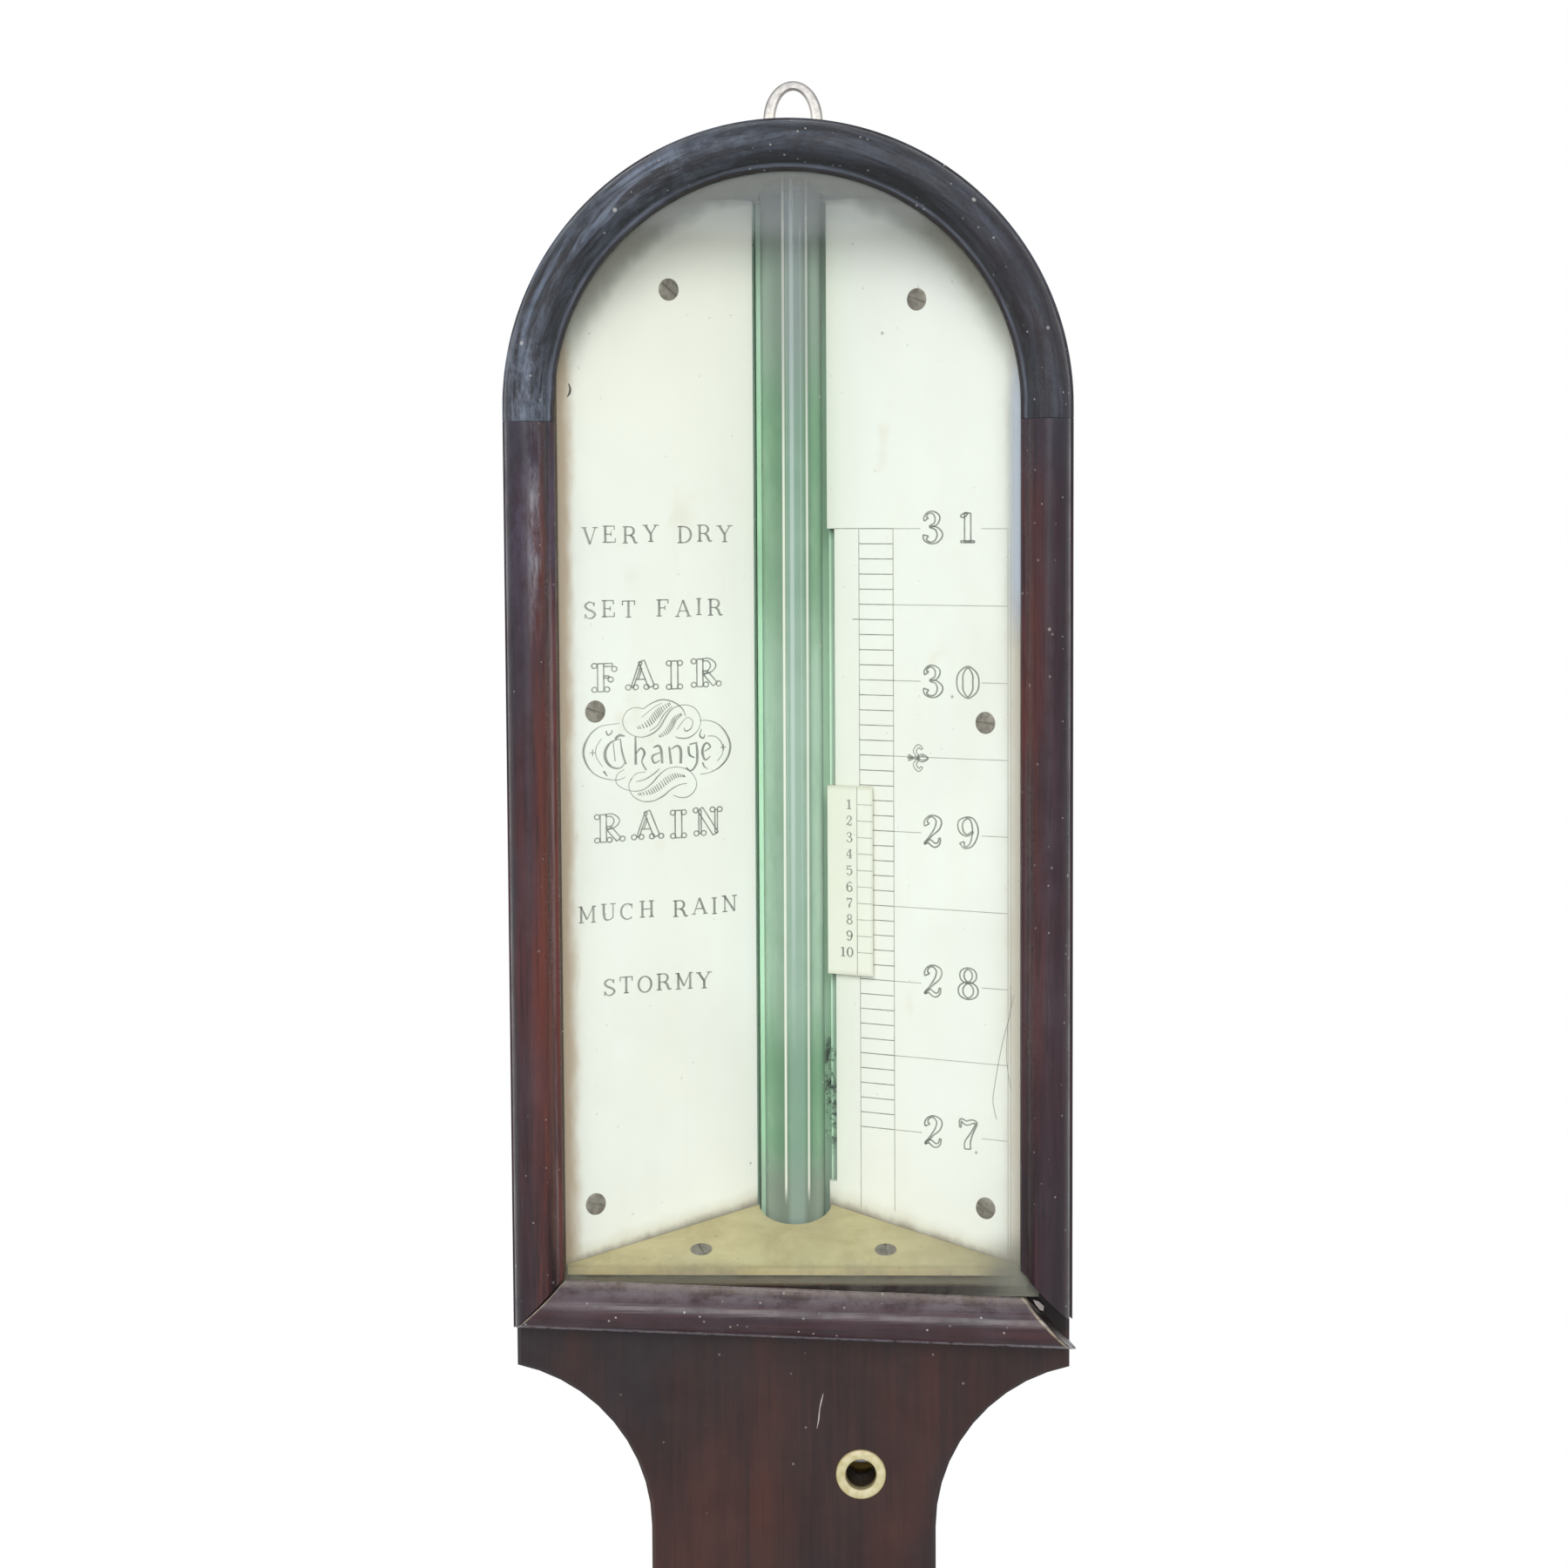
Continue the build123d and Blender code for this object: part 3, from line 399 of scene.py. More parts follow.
arch = flat_piece("arch_strip", [(sight + out * mm, face - up * mm, arch_foot)
                                 for out, up in section_points()])
extrude(z=arch_z - arch_foot)
bpy.ops.mesh.spin(steps=arch_steps, angle=pi, center=(0, 0, arch_z), axis=(0, 1, 0))
extrude(z=arch_foot - arch_z)
close_up(arch)
soften(arch, 0.1 * mm, angle=60)
arch_wood, shader, wood = polished_wood("arch_wood", "15151a", "22232b", "251f25", (1, 1, 1), 0.15,
                                        "4d5462", 0.38)
x, y, z = axes()
from_middle, above = from_arch()
round_arch = calc("ARCTAN2", x, above + 1 * mm) * (5 * mm)
bent_grain = add_node("CombineXYZ", X=from_middle, Y=y, Z=round_arch).outputs[0]
strands = noise(bent_grain, 520, 9, 0.74, 0.6)
blotches = noise(spot_on(), 95, 8, 0.74, 0.6)
# Blue-grey patches, strongest on the left: partly bloom in the old polish, partly a painted
# reflection of the light from the upper left.
to_left = ramp(x, 16 * mm, -30 * mm, 0.35, 1)
slate_bloom_and_reflection = ramp(strands, 0.4, 0.68) * ramp(blotches, 0.3, 0.6, 0.25, 1) * to_left * 0.95
wood = mix(slate_bloom_and_reflection, wood, "6c7788")
# A pale spot on the crest at the upper left: bloom in the polish, and a painted reflection of the
# lamp.
bloom_and_reflection_spot = (ramp(x, -3 * mm, -11 * mm) * ramp(x, -33 * mm, -24 * mm)
              * ramp(above, 20 * mm, 32 * mm))
bloom_and_reflection_spot = bloom_and_reflection_spot * ramp(blotches, 0.42, 0.62) * ramp(strands, 0.36, 0.6) * 0.3
wood = mix(bloom_and_reflection_spot, wood, "8c97a8")
# At the left foot of the arch the same pale blue-grey: bloom in the polish and a painted
# reflection.
low_end = (ramp(x, -30 * mm, -42 * mm) * ramp(above, 20 * mm, 2 * mm)
           * ramp(noise(spot_on((1, 1, 0.5)), 700, 8, 0.8), 0.44, 0.7))
wood = mix(low_end * 0.6, wood, "868ea0")
inner_shade = ramp(from_middle, sight + 4.6 * mm, sight + 2.4 * mm, 0, 0.5)
wood = mix(inner_shade * ramp(above, 0.0, 14 * mm), wood, "141317")
# Painted highlight: a thin pale line along the lip of the inner step.
lip_highlight = (ramp(from_middle, sight + 1.25 * mm, sight + 0.95 * mm)
       * ramp(from_middle, sight + 0.45 * mm, sight + 0.75 * mm) * ramp(strands, 0.3, 0.6, 0.3, 1)
       * 0.5)
wood = mix(lip_highlight, wood, "7b8191")
# Painted shade: the narrow step at the sight edge, where it drops to the glass, is darkened.
wood = mix(ramp(from_middle, sight + 0.6 * mm, sight + 0.3 * mm, 0, 0.7), wood, "241c19")
warm_end = ramp(x, 22 * mm, 42 * mm) * ramp(blotches, 0.35, 0.7)
wood = mix(warm_end * 0.4, wood, "33222a")
wood = dusted(wood, ((330, 0.16), (900, 0.2)), 0.86, 0.7, "b5b6b3")
relief(shader, strands + blotches, 0.0003)
feed(shader, "Base Color", wood)
finish_piece(arch, arch_wood, "case", "moulding_wood", "arch_moulding")

side_wood, shader, wood = polished_wood("side_wood", "231823", "38232b", "5c2b26", (1, 1, 0.05),
                                        0.15, "5d5a63", 0.3)
x, y, z = axes()
off_middle = abs(x)
strokes = noise(spot_on((1, 1, 0.07)), 420, 6, 0.7, 0.4)
inner_red = ramp(off_middle, sight + 4.6 * mm, sight + 2.2 * mm) * ramp(strokes, 0.34, 0.6)
more_left = calc("MAXIMUM", ramp(x, 1 * mm, -1 * mm), ramp(z, -170 * mm, -90 * mm, 0.12, 0.5))
wood = mix(inner_red * more_left * 0.7, wood, "653327")
fine_dark = noise(spot_on((1, 1, 0.04)), 1500, 5, 0.7, 0.3)
wood = mix(ramp(fine_dark, 0.5, 0.66, 0, 0.5), wood, "151013")
# Painted shade: the outer slope of the half-round, turned away from the light, is darkened.
outer_shade = ramp(off_middle, sight + 5 * mm, sight + 7.6 * mm) * ramp(strokes, 0.62, 0.4)
wood = mix(outer_shade * 0.8, wood, "1c1620")
violet = ((x < 0.0) * ramp(z, -108 * mm, -70 * mm)
          * ramp(noise(spot_on((1, 1, 0.4)), 260, 7, 0.75), 0.38, 0.62))
wood = mix(violet * 0.6, wood, "4c4658")
# A pale grey band along the crest of the left strip, high up: partly rubbed polish, partly a
# painted highlight from the light on the left.
rubbed = (ramp(off_middle, sight + 4.4 * mm, sight + 3.4 * mm)
          * ramp(off_middle, sight + 1.6 * mm, sight + 2.6 * mm) * (x < 0.0)
          * ramp(z, -98 * mm, -76 * mm) * ramp(noise(spot_on((1, 1, 0.2)), 420, 7, 0.75), 0.36,
          0.62))
wood = mix(rubbed * 0.75, wood, "9c9aa0")
# Painted highlight: a thin pale line along the inner lip, stronger on the left.
edge_highlight = (ramp(off_middle, sight + 1.25 * mm, sight + 0.95 * mm)
             * ramp(off_middle, sight + 0.5 * mm, sight + 0.8 * mm) * ramp(strokes, 0.35, 0.6)
             * ramp(x, 1 * mm, -1 * mm, 0.15, 0.45))
wood = mix(edge_highlight, wood, "8c7f82")
top_end = ramp(z, -72 * mm, -60 * mm) * 0.6
wood = mix(top_end, wood, mix(noise(spot_on(), 130, 6, 0.7), "1f1c24", "3a3a46"))
foot_dark = ramp(z, -150 * mm, -195 * mm, 0, 0.5)
wood = mix(foot_dark * ramp(strokes, 0.65, 0.4), wood, "1a171b")
wood = dusted(wood, ((330, 0.14), (900, 0.18)), 0.92, 0.6, "a8a09c")
feed(shader, "Base Color", wood)
for side, name, node, shorter in ((-1, "left_strip", "left_side_moulding", 0.0),
                                  (1, "right_strip", "right_side_moulding", right_short)):
    strip = flat_piece(name, [(side * (sight + out * mm), face - up * mm, arch_foot)
                              for out, up in section_points()])
    foot = side_foot + shorter
    extrude(z=foot - arch_foot)
    cut((side * moulding_out, face, foot), (-side, 0, -1))
    close_up(strip)
    soften(strip, 0.1 * mm, angle=60)
    finish_piece(strip, side_wood, "case", "moulding_wood", node)


# The rail below the glass: the same strip lying down, mitred at both ends. Its glue has
# let go at the right, so it has dropped there and its tip stands past the corner.
rail_slip = 2.1
rail_over = 0.7 * mm
rail_top = side_foot + moulding_w
rail = flat_piece("rail_strip", [(-moulding_out, face - up * mm, rail_top - out * mm)
                                 for out, up in section_points()])
extrude(x=2 * moulding_out + rail_over)
cut((-moulding_out, face, side_foot), (-1, 0, 1))
cut((moulding_out + rail_over, face, side_foot), (1, 0, 1))
close_up(rail)
soften(rail, 0.1 * mm, angle=60)
pivot = Matrix.Translation((-moulding_out, face, side_foot))
rail.data.transform(pivot @ Matrix.Rotation(radians(rail_slip), 4, "Y") @ pivot.inverted())
rail_wood, shader, wood = polished_wood("rail_wood", "2b1f25", "432b2f", "56302f", (0.05, 1, 1),
                                        0.2, "6a626c", 0.3)
x, y, z = axes()
drop = z + x * tan(radians(rail_slip))
# Painted highlight: the rail's upper part, which faces up to the light, is lightened.
shelf_highlight = ramp(drop, -203.6 * mm, -201.2 * mm) * ramp(noise(spot_on(), 200, 6, 0.7), 0.3, 0.6)
wood = mix(shelf_highlight * 0.5, wood, "857c82")
tip = moulding_out + rail_over
raised = z + (x + moulding_out) * tan(radians(rail_slip))
to_mitre = x - tip + raised - side_foot
frayed = ramp(noise(spot_on(), 900, 5, 0.7), 0.3, 0.55)
to_left_mitre = raised - side_foot - (x + moulding_out)
end_grain = ramp(to_mitre, -0.25 * mm, -0.05 * mm) * 0.85
wood = mix(end_grain, wood, "2a241e")
edge = abs(to_mitre + 0.45 * mm)
mitre_edge = ramp(edge, 0.4 * mm, 0.1 * mm) * frayed * 0.7
left_edge = ramp(to_left_mitre, -0.55 * mm, -0.25 * mm) * frayed * 0.6
wood = mix(calc("MAXIMUM", mitre_edge, left_edge), wood, "b3a894")
# Painted highlight: a thin pale line along the lower lip.
low_lip_highlight = ramp(raised, side_foot + 1.6 * mm, side_foot + 1.2 * mm) * frayed * 0.6
wood = mix(low_lip_highlight, wood, "a19ca6")
# Painted highlight: a faint pale line along the top lip.
top_lip_highlight = ramp(raised, rail_top - 1.3 * mm, rail_top - 0.5 * mm) * frayed * 0.28
wood = mix(top_lip_highlight, wood, "8d8470")
wood = dusted(wood, ((330, 0.16), (800, 0.2)), 0.88, 0.7, "bdb9b4")
feed(shader, "Base Color", wood)
finish_piece(rail, rail_wood, "case", "moulding_wood", "bottom_rail")


# The glass: one thin old pane let into the moulding from behind. It is clear, with a
# film of dust that is thicker near its edges and darker at the top as painted shade, and a
# painted pale reflection down its right side.
def layered_finish(name):
    """A finish with nothing in it yet, for glass that is built up in layers."""
    made = bpy.data.materials.new(name)
    made.use_nodes = True
    made.node_tree.nodes.clear()
    work_on(made.node_tree)
    return made


def fresnel(ior):
    return Value(add_node("Fresnel", IOR=ior).outputs[0])


pane_glass = layered_finish("pane_glass")
clear = add_node("BsdfTransparent", Color=(0.992, 0.998, 0.99, 1))
gloss = add_node("BsdfGlossy", Color=(0.9, 0.95, 1, 1), Roughness=0.04)
x, y, z = axes()
from_middle, above = from_arch()
place = spot_on()
ragged = noise(place, 210, 2, 0.5) * (3 * mm)
rim = ramp(from_middle + ragged, 34.2 * mm, 38.6 * mm)
# Towards the top of the arch the film thickens: dust, and painted shade under the arch.
crown = rim * ramp(above, 6 * mm, 32 * mm, 0.06, 0.42)
low = (ramp(z - ragged, -195 * mm, -199.5 * mm, 0, 0.16)
       * ramp(noise(place, 130, 6, 0.7), 0.42, 0.66))
low = low + ramp(x, 29 * mm, 37 * mm) * ramp(z, -190 * mm, -197 * mm) * 0.4
# Painted reflection: a pale blue band down the right side of the pane, drawn as matt blue.
painted_reflection = (ramp(x, 35.2 * mm, 37.4 * mm) * ramp(z, -96 * mm, -82 * mm) * ramp(z, -42 * mm, -56 * mm)
         * 0.55)
flecks = specks(place, 560, 0.14, 0.93) * 0.3
veil = ramp(noise(place, 55, 6, 0.65), 0.35, 0.8, 0, 0.03)
dusty = crown + low + veil + flecks
blue = add_node("BsdfDiffuse", Color=paint("bcc8d6"))
# The film is darker grey near its ends, and darkest at the top, where it is painted shade as well
# as dust.
near_ends = calc("MAXIMUM", ramp(above, 0.0, 15 * mm), ramp(z, -188 * mm, -193 * mm))
film = mix(near_ends, "b9bab2", "8d8d80")
film = mix(ramp(above, 18 * mm, 34 * mm), film, "66675f")
film = add_node("BsdfDiffuse", Color=film)
body = add_node("MixShader", i0=dusty, i1=clear.outputs[0], i2=film.outputs[0])
body = add_node("MixShader", i0=painted_reflection, i1=body.outputs[0], i2=blue.outputs[0])
mirror_share = fresnel(1.4) * 0.35
skin = add_node("MixShader", i0=mirror_share, i1=body.outputs[0], i2=gloss.outputs[0])
add_node("OutputMaterial", Surface=skin.outputs[0])
dress(pane_glass, "glass_pane")


# The wedge blocks are plain sawn pine. The channel between them is a thin board painted
# green, brushed on thin and patchy, darker low down, grey with dust and painted shade at the top.
block_wood, shader = new_finish("block_wood", 0.75)
grain = noise(spot_on((1, 1, 0.06)), 380, 6, 0.6, 0.5)
# The blocks' walls beside the channel carry its green paint, mixed very pale: real paint, lightened
# as painted light against the channel's shade.
by_channel = abs(axes()[0]) < 6.9 * mm
timber = mix(grain, "6b4a2e", "9c7448")
feed(shader, "Base Color", mix(by_channel, timber, "b2d8c0"))
relief(shader, grain, 0.0001)
dress(block_wood, "left_register_block", "right_register_block")


def brighter(colour, gain):
    return add_node("VectorMath", {"operation": "SCALE"}, i0=colour, Scale=gain).outputs[0]


def board_green(brushed):
    """The painted board's colour: patchy, paler half way down, grey at the foot, and grey at the
    top with dust and painted shade.
    """
    x, y, z = axes()
    patches = noise(spot_on((1, 1, 0.6)), 75, 5, 0.62, 0.3)
    green = mix(ramp(patches, 0.35, 0.68), "6a9171", "84a488")
    faded = (ramp(z, -78 * mm, -106 * mm) * ramp(z, -168 * mm, -152 * mm)
             * ramp(patches, 0.3, 0.6, 0.6, 1))
    green = mix(faded, green, "9fbaa4")
    green = mix(ramp(brushed, 0.5, 0.8, 0, 0.3), green, "5a8a6a")
    green = mix(ramp(z, -178 * mm, -188 * mm, 0, 0.85), green, "7a8478")
    # Painted shade under the arch, with dust: the board turns grey towards its top.
    green = mix(ramp(z, -60 * mm, -38 * mm, 0, 0.85), green, "87958a")
    return mix(ramp(z, -34 * mm, -24 * mm, 0, 0.85), green, "646b66")


green_paint, shader = new_finish("green_paint", 0.6)
x, y, z = axes()
brushed = noise(spot_on((1, 1, 0.1)), 420, 6, 0.65, 0.4)
# Painted light: the whole board is lightened with pale green against the shade of the deep channel.
green = mix(0.3, board_green(brushed), "bcdcc4")
aside = abs(x)
# Painted light: the strips beside the tube, deep in shade, are brightened several times over, most
# on the left.
by_tube = ramp(aside, 4.2 * mm, 5.0 * mm) * ramp(aside, 6.7 * mm, 6.2 * mm)
gap_light_gain = by_tube * ramp(x, -1 * mm, 1 * mm, 2.7, 0.9) + 1.0
green = brighter(green, gap_light_gain)
chipped = (ramp(x, 4.2 * mm, 5.6 * mm) * ramp(z, -160 * mm, -166 * mm)
           * ramp(z, -184 * mm, -178 * mm) * ramp(noise(spot_on(), 500, 6, 0.75), 0.45, 0.6))
green = mix(chipped, green, "35463b")
feed(shader, "Base Color", green)
relief(shader, brushed, 0.00008)
dress(green_paint, "channel_lining")


# The register: two thin plates of bone screwed to the blocks in a V, polished ivory
# white with faint bands, stained along the edges and grimy where they meet the brass,
# with painted shade greying their tops under the arch.
slope = 17.6 / 31.7           # how steeply the plates come forward
channel_half = 6.2 * mm
tube_depth = 18 * mm


def bone(name, pale, warm):
    made, shader = new_finish(name, 0.5)
    cloud = noise(spot_on((1, 1, 0.3)), 45, 4, 0.6)
    band = noise(spot_on((1, 1, 0.03)), 900, 4, 0.6)
    colour = mix(ramp(cloud, 0.35, 0.7), pale, warm)
    colour = mix(ramp(band, 0.55, 0.8, 0, 0.12), colour, "d9d5c2")
    shader.inputs["Specular IOR Level"].default_value = 0.35
    relief(shader, band, 0.00001)
    return made, shader, colour


plate_bone, shader, colour = bone("plate_bone", "f0f2ec", "edeee5")
x, y, z = axes()
on_left = x < 0.0
colour = mix(on_left * ramp(z, -95 * mm, -45 * mm) * 0.5, colour, "efeee0")
colour = mix(ramp(x, 12 * mm, 6 * mm) * ramp(x, 2 * mm, 5 * mm) * 0.4, colour, "e6ecd9")
stains = noise(spot_on((1, 1, 0.5)), 240, 6, 0.7)
ragged = stains * (2.6 * mm)
outer = ramp(abs(x) + ragged, 36.2 * mm, 38.5 * mm, 0, 0.75)
colour = mix(outer * ramp(on_left, 0, 1, 0.5, 1), colour, "a98456")
from_middle, above = from_arch()
# Painted shade: grey at the top of the plates, under the arch.
crescent_shade = ramp(from_middle + ragged, 35.5 * mm, 39 * mm) * ramp(above, 4 * mm, 24 * mm) * 0.8
colour = mix(crescent_shade, colour, "70716a")
foot_line = abs(x) * -0.2241 - 188.9 * mm
over_foot = z - foot_line - ragged
colour = mix(ramp(over_foot, 2.4 * mm, -2.4 * mm, 0, 0.55), colour, "b0a483")
colour = mix(ramp(over_foot, 0.3 * mm, -1.8 * mm, 0, 0.6), colour, "5f5340")
spots = ramp(noise(spot_on(), 95, 3, 0.5), 0.66, 0.78) * 0.22
colour = mix(spots, colour, "cfc6a4")
colour = mix(specks(spot_on(), 260, 0.1, 0.975) * 0.6, colour, "77705e")
feed(shader, "Base Color", colour)
dress(plate_bone, "left_register_plate", "right_register_plate")


# The engraving: fine lines cut in the bone and filled with black wax, worn pale. Plain
# weather words stand on the left, the inch scale with its numbers on the right.
def engraving_wax(name, dark, pale):
    made, shader = new_finish(name, 0.6)
    worn = noise(spot_on((1, 1, 0.5)), 480, 6, 0.75)
    x = axes()[0]
    faded = ramp(worn, 0.3, 0.72) + ramp(x, -22 * mm, -36 * mm, 0, 0.35)
    feed(shader, "Base Color", mix(faded, dark, pale))
    relief(shader, worn, 0.00001)
    return made


wax = engraving_wax("engraving_wax", "6f726d", "a6a89f")
faint_wax = engraving_wax("faint_wax", "989b93", "bcbfb4")
cut_lift = 0.02 * mm
line_31 = -75 * mm
inch = 25.4 * mm


def curve_through(points, steps=7, closed=False):
    """A smooth curve through points of (x, z, width)."""
    ends = ([points[-1]], [points[0], points[1]]) if closed else ([points[0]], [points[-1]])
    row = ends[0] + list(points) + ends[1]
    out = []
    for p0, p1, p2, p3 in zip(row, row[1:], row[2:], row[3:]):
        for i in range(steps):
            t = i / steps
            out.append(tuple(0.5 * (2 * b + (c - a) * t + (2 * a - 5 * b + 4 * c - d) * t * t
                                    + (3 * b - a - 3 * c + d) * t ** 3)
                             for a, b, c, d in zip(p0, p1, p2, p3)))
    return out + [row[-2]]


class Pen:
    """Draws flat strokes as seen from the front; lay() sets them on a surface."""

    def __init__(self):
        self.corners, self.faces = [], []
        self.at, self.size = (0.0, 0.0), 1.0

    def quad(self, *points):
        first = len(self.corners)
        self.corners += [(self.at[0] + px * self.size, self.at[1] + pz * self.size)
                         for px, pz in points]
        self.faces.append(tuple(range(first, first + len(points))))

    def ribbon(self, points):
        """A band along points of (x, z, width)."""
        sides = []
        for i, (px, pz, width) in enumerate(points):
            ax, az = points[max(i - 1, 0)][:2]
            bx, bz = points[min(i + 1, len(points) - 1)][:2]
            length = sqrt((bx - ax) ** 2 + (bz - az) ** 2) or 1e-9
            nx, nz = (az - bz) / length * width / 2, (bx - ax) / length * width / 2
            sides.append(((px + nx, pz + nz), (px - nx, pz - nz)))
        for (a, b), (c, d) in zip(sides, sides[1:]):
            self.quad(a, b, d, c)

    def line(self, ax, az, bx, bz, width, end=None):
        self.ribbon([(ax, az, width), (bx, bz, width if end is None else end)])

    def curve(self, points, steps=7, closed=False):
        self.ribbon(curve_through(points, steps, closed))

    def outlined(self, points, hair, steps=6, closed=False, smooth=True):
        """A stroke shown open: only its two edges are cut, each hair wide."""
        middle = curve_through(points, steps, closed) if smooth else points
        edges = ([], [])
        for i, (px, pz, width) in enumerate(middle):
            ax, az = middle[max(i - 1, 0)][:2]
            bx, bz = middle[min(i + 1, len(middle) - 1)][:2]
            length = sqrt((bx - ax) ** 2 + (bz - az) ** 2) or 1e-9
            for row, way in zip(edges, (1, -1)):
                row.append((px + way * (az - bz) / length * width / 2,
                            pz + way * (bx - ax) / length * width / 2, hair))
        for row in edges:
            self.ribbon(row)
        if not closed:
            for i in (0, -1):
                self.line(*edges[0][i][:2], *edges[1][i][:2], hair)

    def ring(self, cx, cz, radius, hair, steps=14):
        self.ribbon([(cx + radius * cos(2 * pi * i / steps), cz + radius * sin(2 * pi * i / steps),
                      hair) for i in range(steps + 1)])

    def lay(self, name, depth_at, finish, body, slot="bone_plate"):
        """Makes the strokes a mesh; depth_at gives how far each corner stands out from the wall."""
        mesh = bpy.data.meshes.new(name)
        mesh.from_pydata([(px, -depth_at(px, pz), pz) for px, pz in self.corners], [], self.faces)
        for flat in mesh.polygons:
            if flat.normal.y > 0:
                flat.flip()
        piece = bpy.data.objects.new(name, mesh)
        bpy.context.scene.collection.objects.link(piece)
        finish_piece(piece, finish, body, slot)
        return piece


def on_plate(lift=cut_lift):
    return lambda px, pz: tube_depth + (abs(px) - channel_half) * slope + lift


def plain_capital(pen, letter):
    """One capital in a thin slab-serif hand, one unit tall; gives its width."""
    stem, hair = 0.13, 0.065

    def stroke(ax, az, bx, bz, width=hair):
        pen.line(ax, az, bx, bz, width)

    def serif(px, pz, half=0.15):
        stroke(px - half, pz, px + half, pz)

    def upright(px, low=0.0, high=1.0, foot=True, head=True):
        stroke(px, low, px, high, stem)
        if foot:
            serif(px, low + hair / 2)
        if head:
            serif(px, high - hair / 2)

    def bowl(cx, cz, rx, rz, start, end, thick=stem, steps=12):
        turns = [radians(start + (end - start) * i / steps) for i in range(steps + 1)]
        pen.ribbon([(cx + rx * cos(t), cz + rz * sin(t), hair + (thick - hair) * abs(cos(t)))
                    for t in turns])

    if letter == "A":
        stroke(0.1, 0.03, 0.42, 0.98), stroke(0.42, 0.98, 0.76, 0.03, stem)
        stroke(0.2, 0.34, 0.64, 0.34), serif(0.1, 0.03, 0.13), serif(0.76, 0.03, 0.14)
    elif letter == "C":
        bowl(0.44, 0.5, 0.36, 0.46, 48, 312), stroke(0.7, 0.96, 0.7, 0.68)
    elif letter == "D":
        upright(0.2), stroke(0.1, 0.965, 0.45, 0.965), stroke(0.1, 0.035, 0.45, 0.035)
        bowl(0.43, 0.5, 0.38, 0.46, -90, 90)
    elif letter in "EF":
        upright(0.2), stroke(0.1, 0.965, 0.72, 0.965), stroke(0.7, 0.98, 0.7, 0.74)
        stroke(0.2, 0.5, 0.52, 0.5), stroke(0.52, 0.38, 0.52, 0.63)
        if letter == "E":
            stroke(0.1, 0.035, 0.76, 0.035), stroke(0.75, 0.02, 0.75, 0.28)
    elif letter == "H":
        upright(0.2), upright(0.72), stroke(0.2, 0.5, 0.72, 0.5)
    elif letter == "I":
        upright(0.2)
    elif letter == "M":
        upright(0.18, head=False), upright(0.86, head=False)
        stroke(0.16, 0.98, 0.5, 0.2, stem * 0.8), stroke(0.5, 0.2, 0.86, 0.98)
        serif(0.1, 0.965, 0.1), serif(0.92, 0.965, 0.1)
    elif letter == "N":
        stroke(0.18, 0.0, 0.18, 1.0), stroke(0.74, 0.04, 0.74, 1.0)
        stroke(0.16, 0.98, 0.74, 0.04, stem), serif(0.18, 0.035), serif(0.12, 0.965,
                0.12), serif(0.74, 0.965)
    elif letter == "O":
        bowl(0.43, 0.5, 0.36, 0.47, 0, 360, steps=22)
    elif letter == "R":
        upright(0.2), stroke(0.1, 0.965, 0.46, 0.965), stroke(0.2, 0.48, 0.46, 0.48)
        bowl(0.46, 0.72, 0.22, 0.24, -90, 90), pen.curve([(0.42, 0.48, hair), (0.62, 0.36, stem),
                (0.74, 0.06, stem), (0.9, 0.05, hair)])
    elif letter == "S":
        pen.curve([(0.62, 0.76, hair), (0.52, 0.93, hair), (0.32, 0.96, stem * 0.8),
                   (0.13, 0.78, stem), (0.24, 0.58, stem), (0.54, 0.42, stem), (0.66, 0.24, stem),
                   (0.5, 0.05, stem * 0.8), (0.26, 0.05, hair), (0.13, 0.26, hair)])
        stroke(0.62, 0.98, 0.62, 0.74), stroke(0.12, 0.02, 0.12, 0.28)
    elif letter == "T":
        upright(0.42, head=False), stroke(0.06, 0.965, 0.78, 0.965)
        stroke(0.08, 0.98, 0.08, 0.72), stroke(0.76, 0.98, 0.76, 0.72)
    elif letter == "U":
        pen.curve([(0.2, 0.98, stem), (0.2, 0.4, stem), (0.28, 0.08, stem), (0.48, 0.03, hair),
                   (0.68, 0.14, hair), (0.72, 0.4, hair), (0.72, 0.98, hair)])
        serif(0.2, 0.965), serif(0.72, 0.965)
    elif letter == "V":
        stroke(0.14, 0.97, 0.46, 0.0, stem), stroke(0.46, 0.0, 0.76, 0.97)
        serif(0.14, 0.965), serif(0.76, 0.965)
    elif letter == "Y":
        stroke(0.14, 0.97, 0.46, 0.46, stem), stroke(0.46, 0.46, 0.76, 0.97)
        upright(0.46, 0.0, 0.48, head=False), serif(0.14, 0.965), serif(0.76, 0.965)
    return {"I": 0.4, "M": 1.02, "H": 0.9, "R": 0.92, "N": 0.9, "S": 0.72}.get(letter,
            0.86) if letter != " " else 0.55


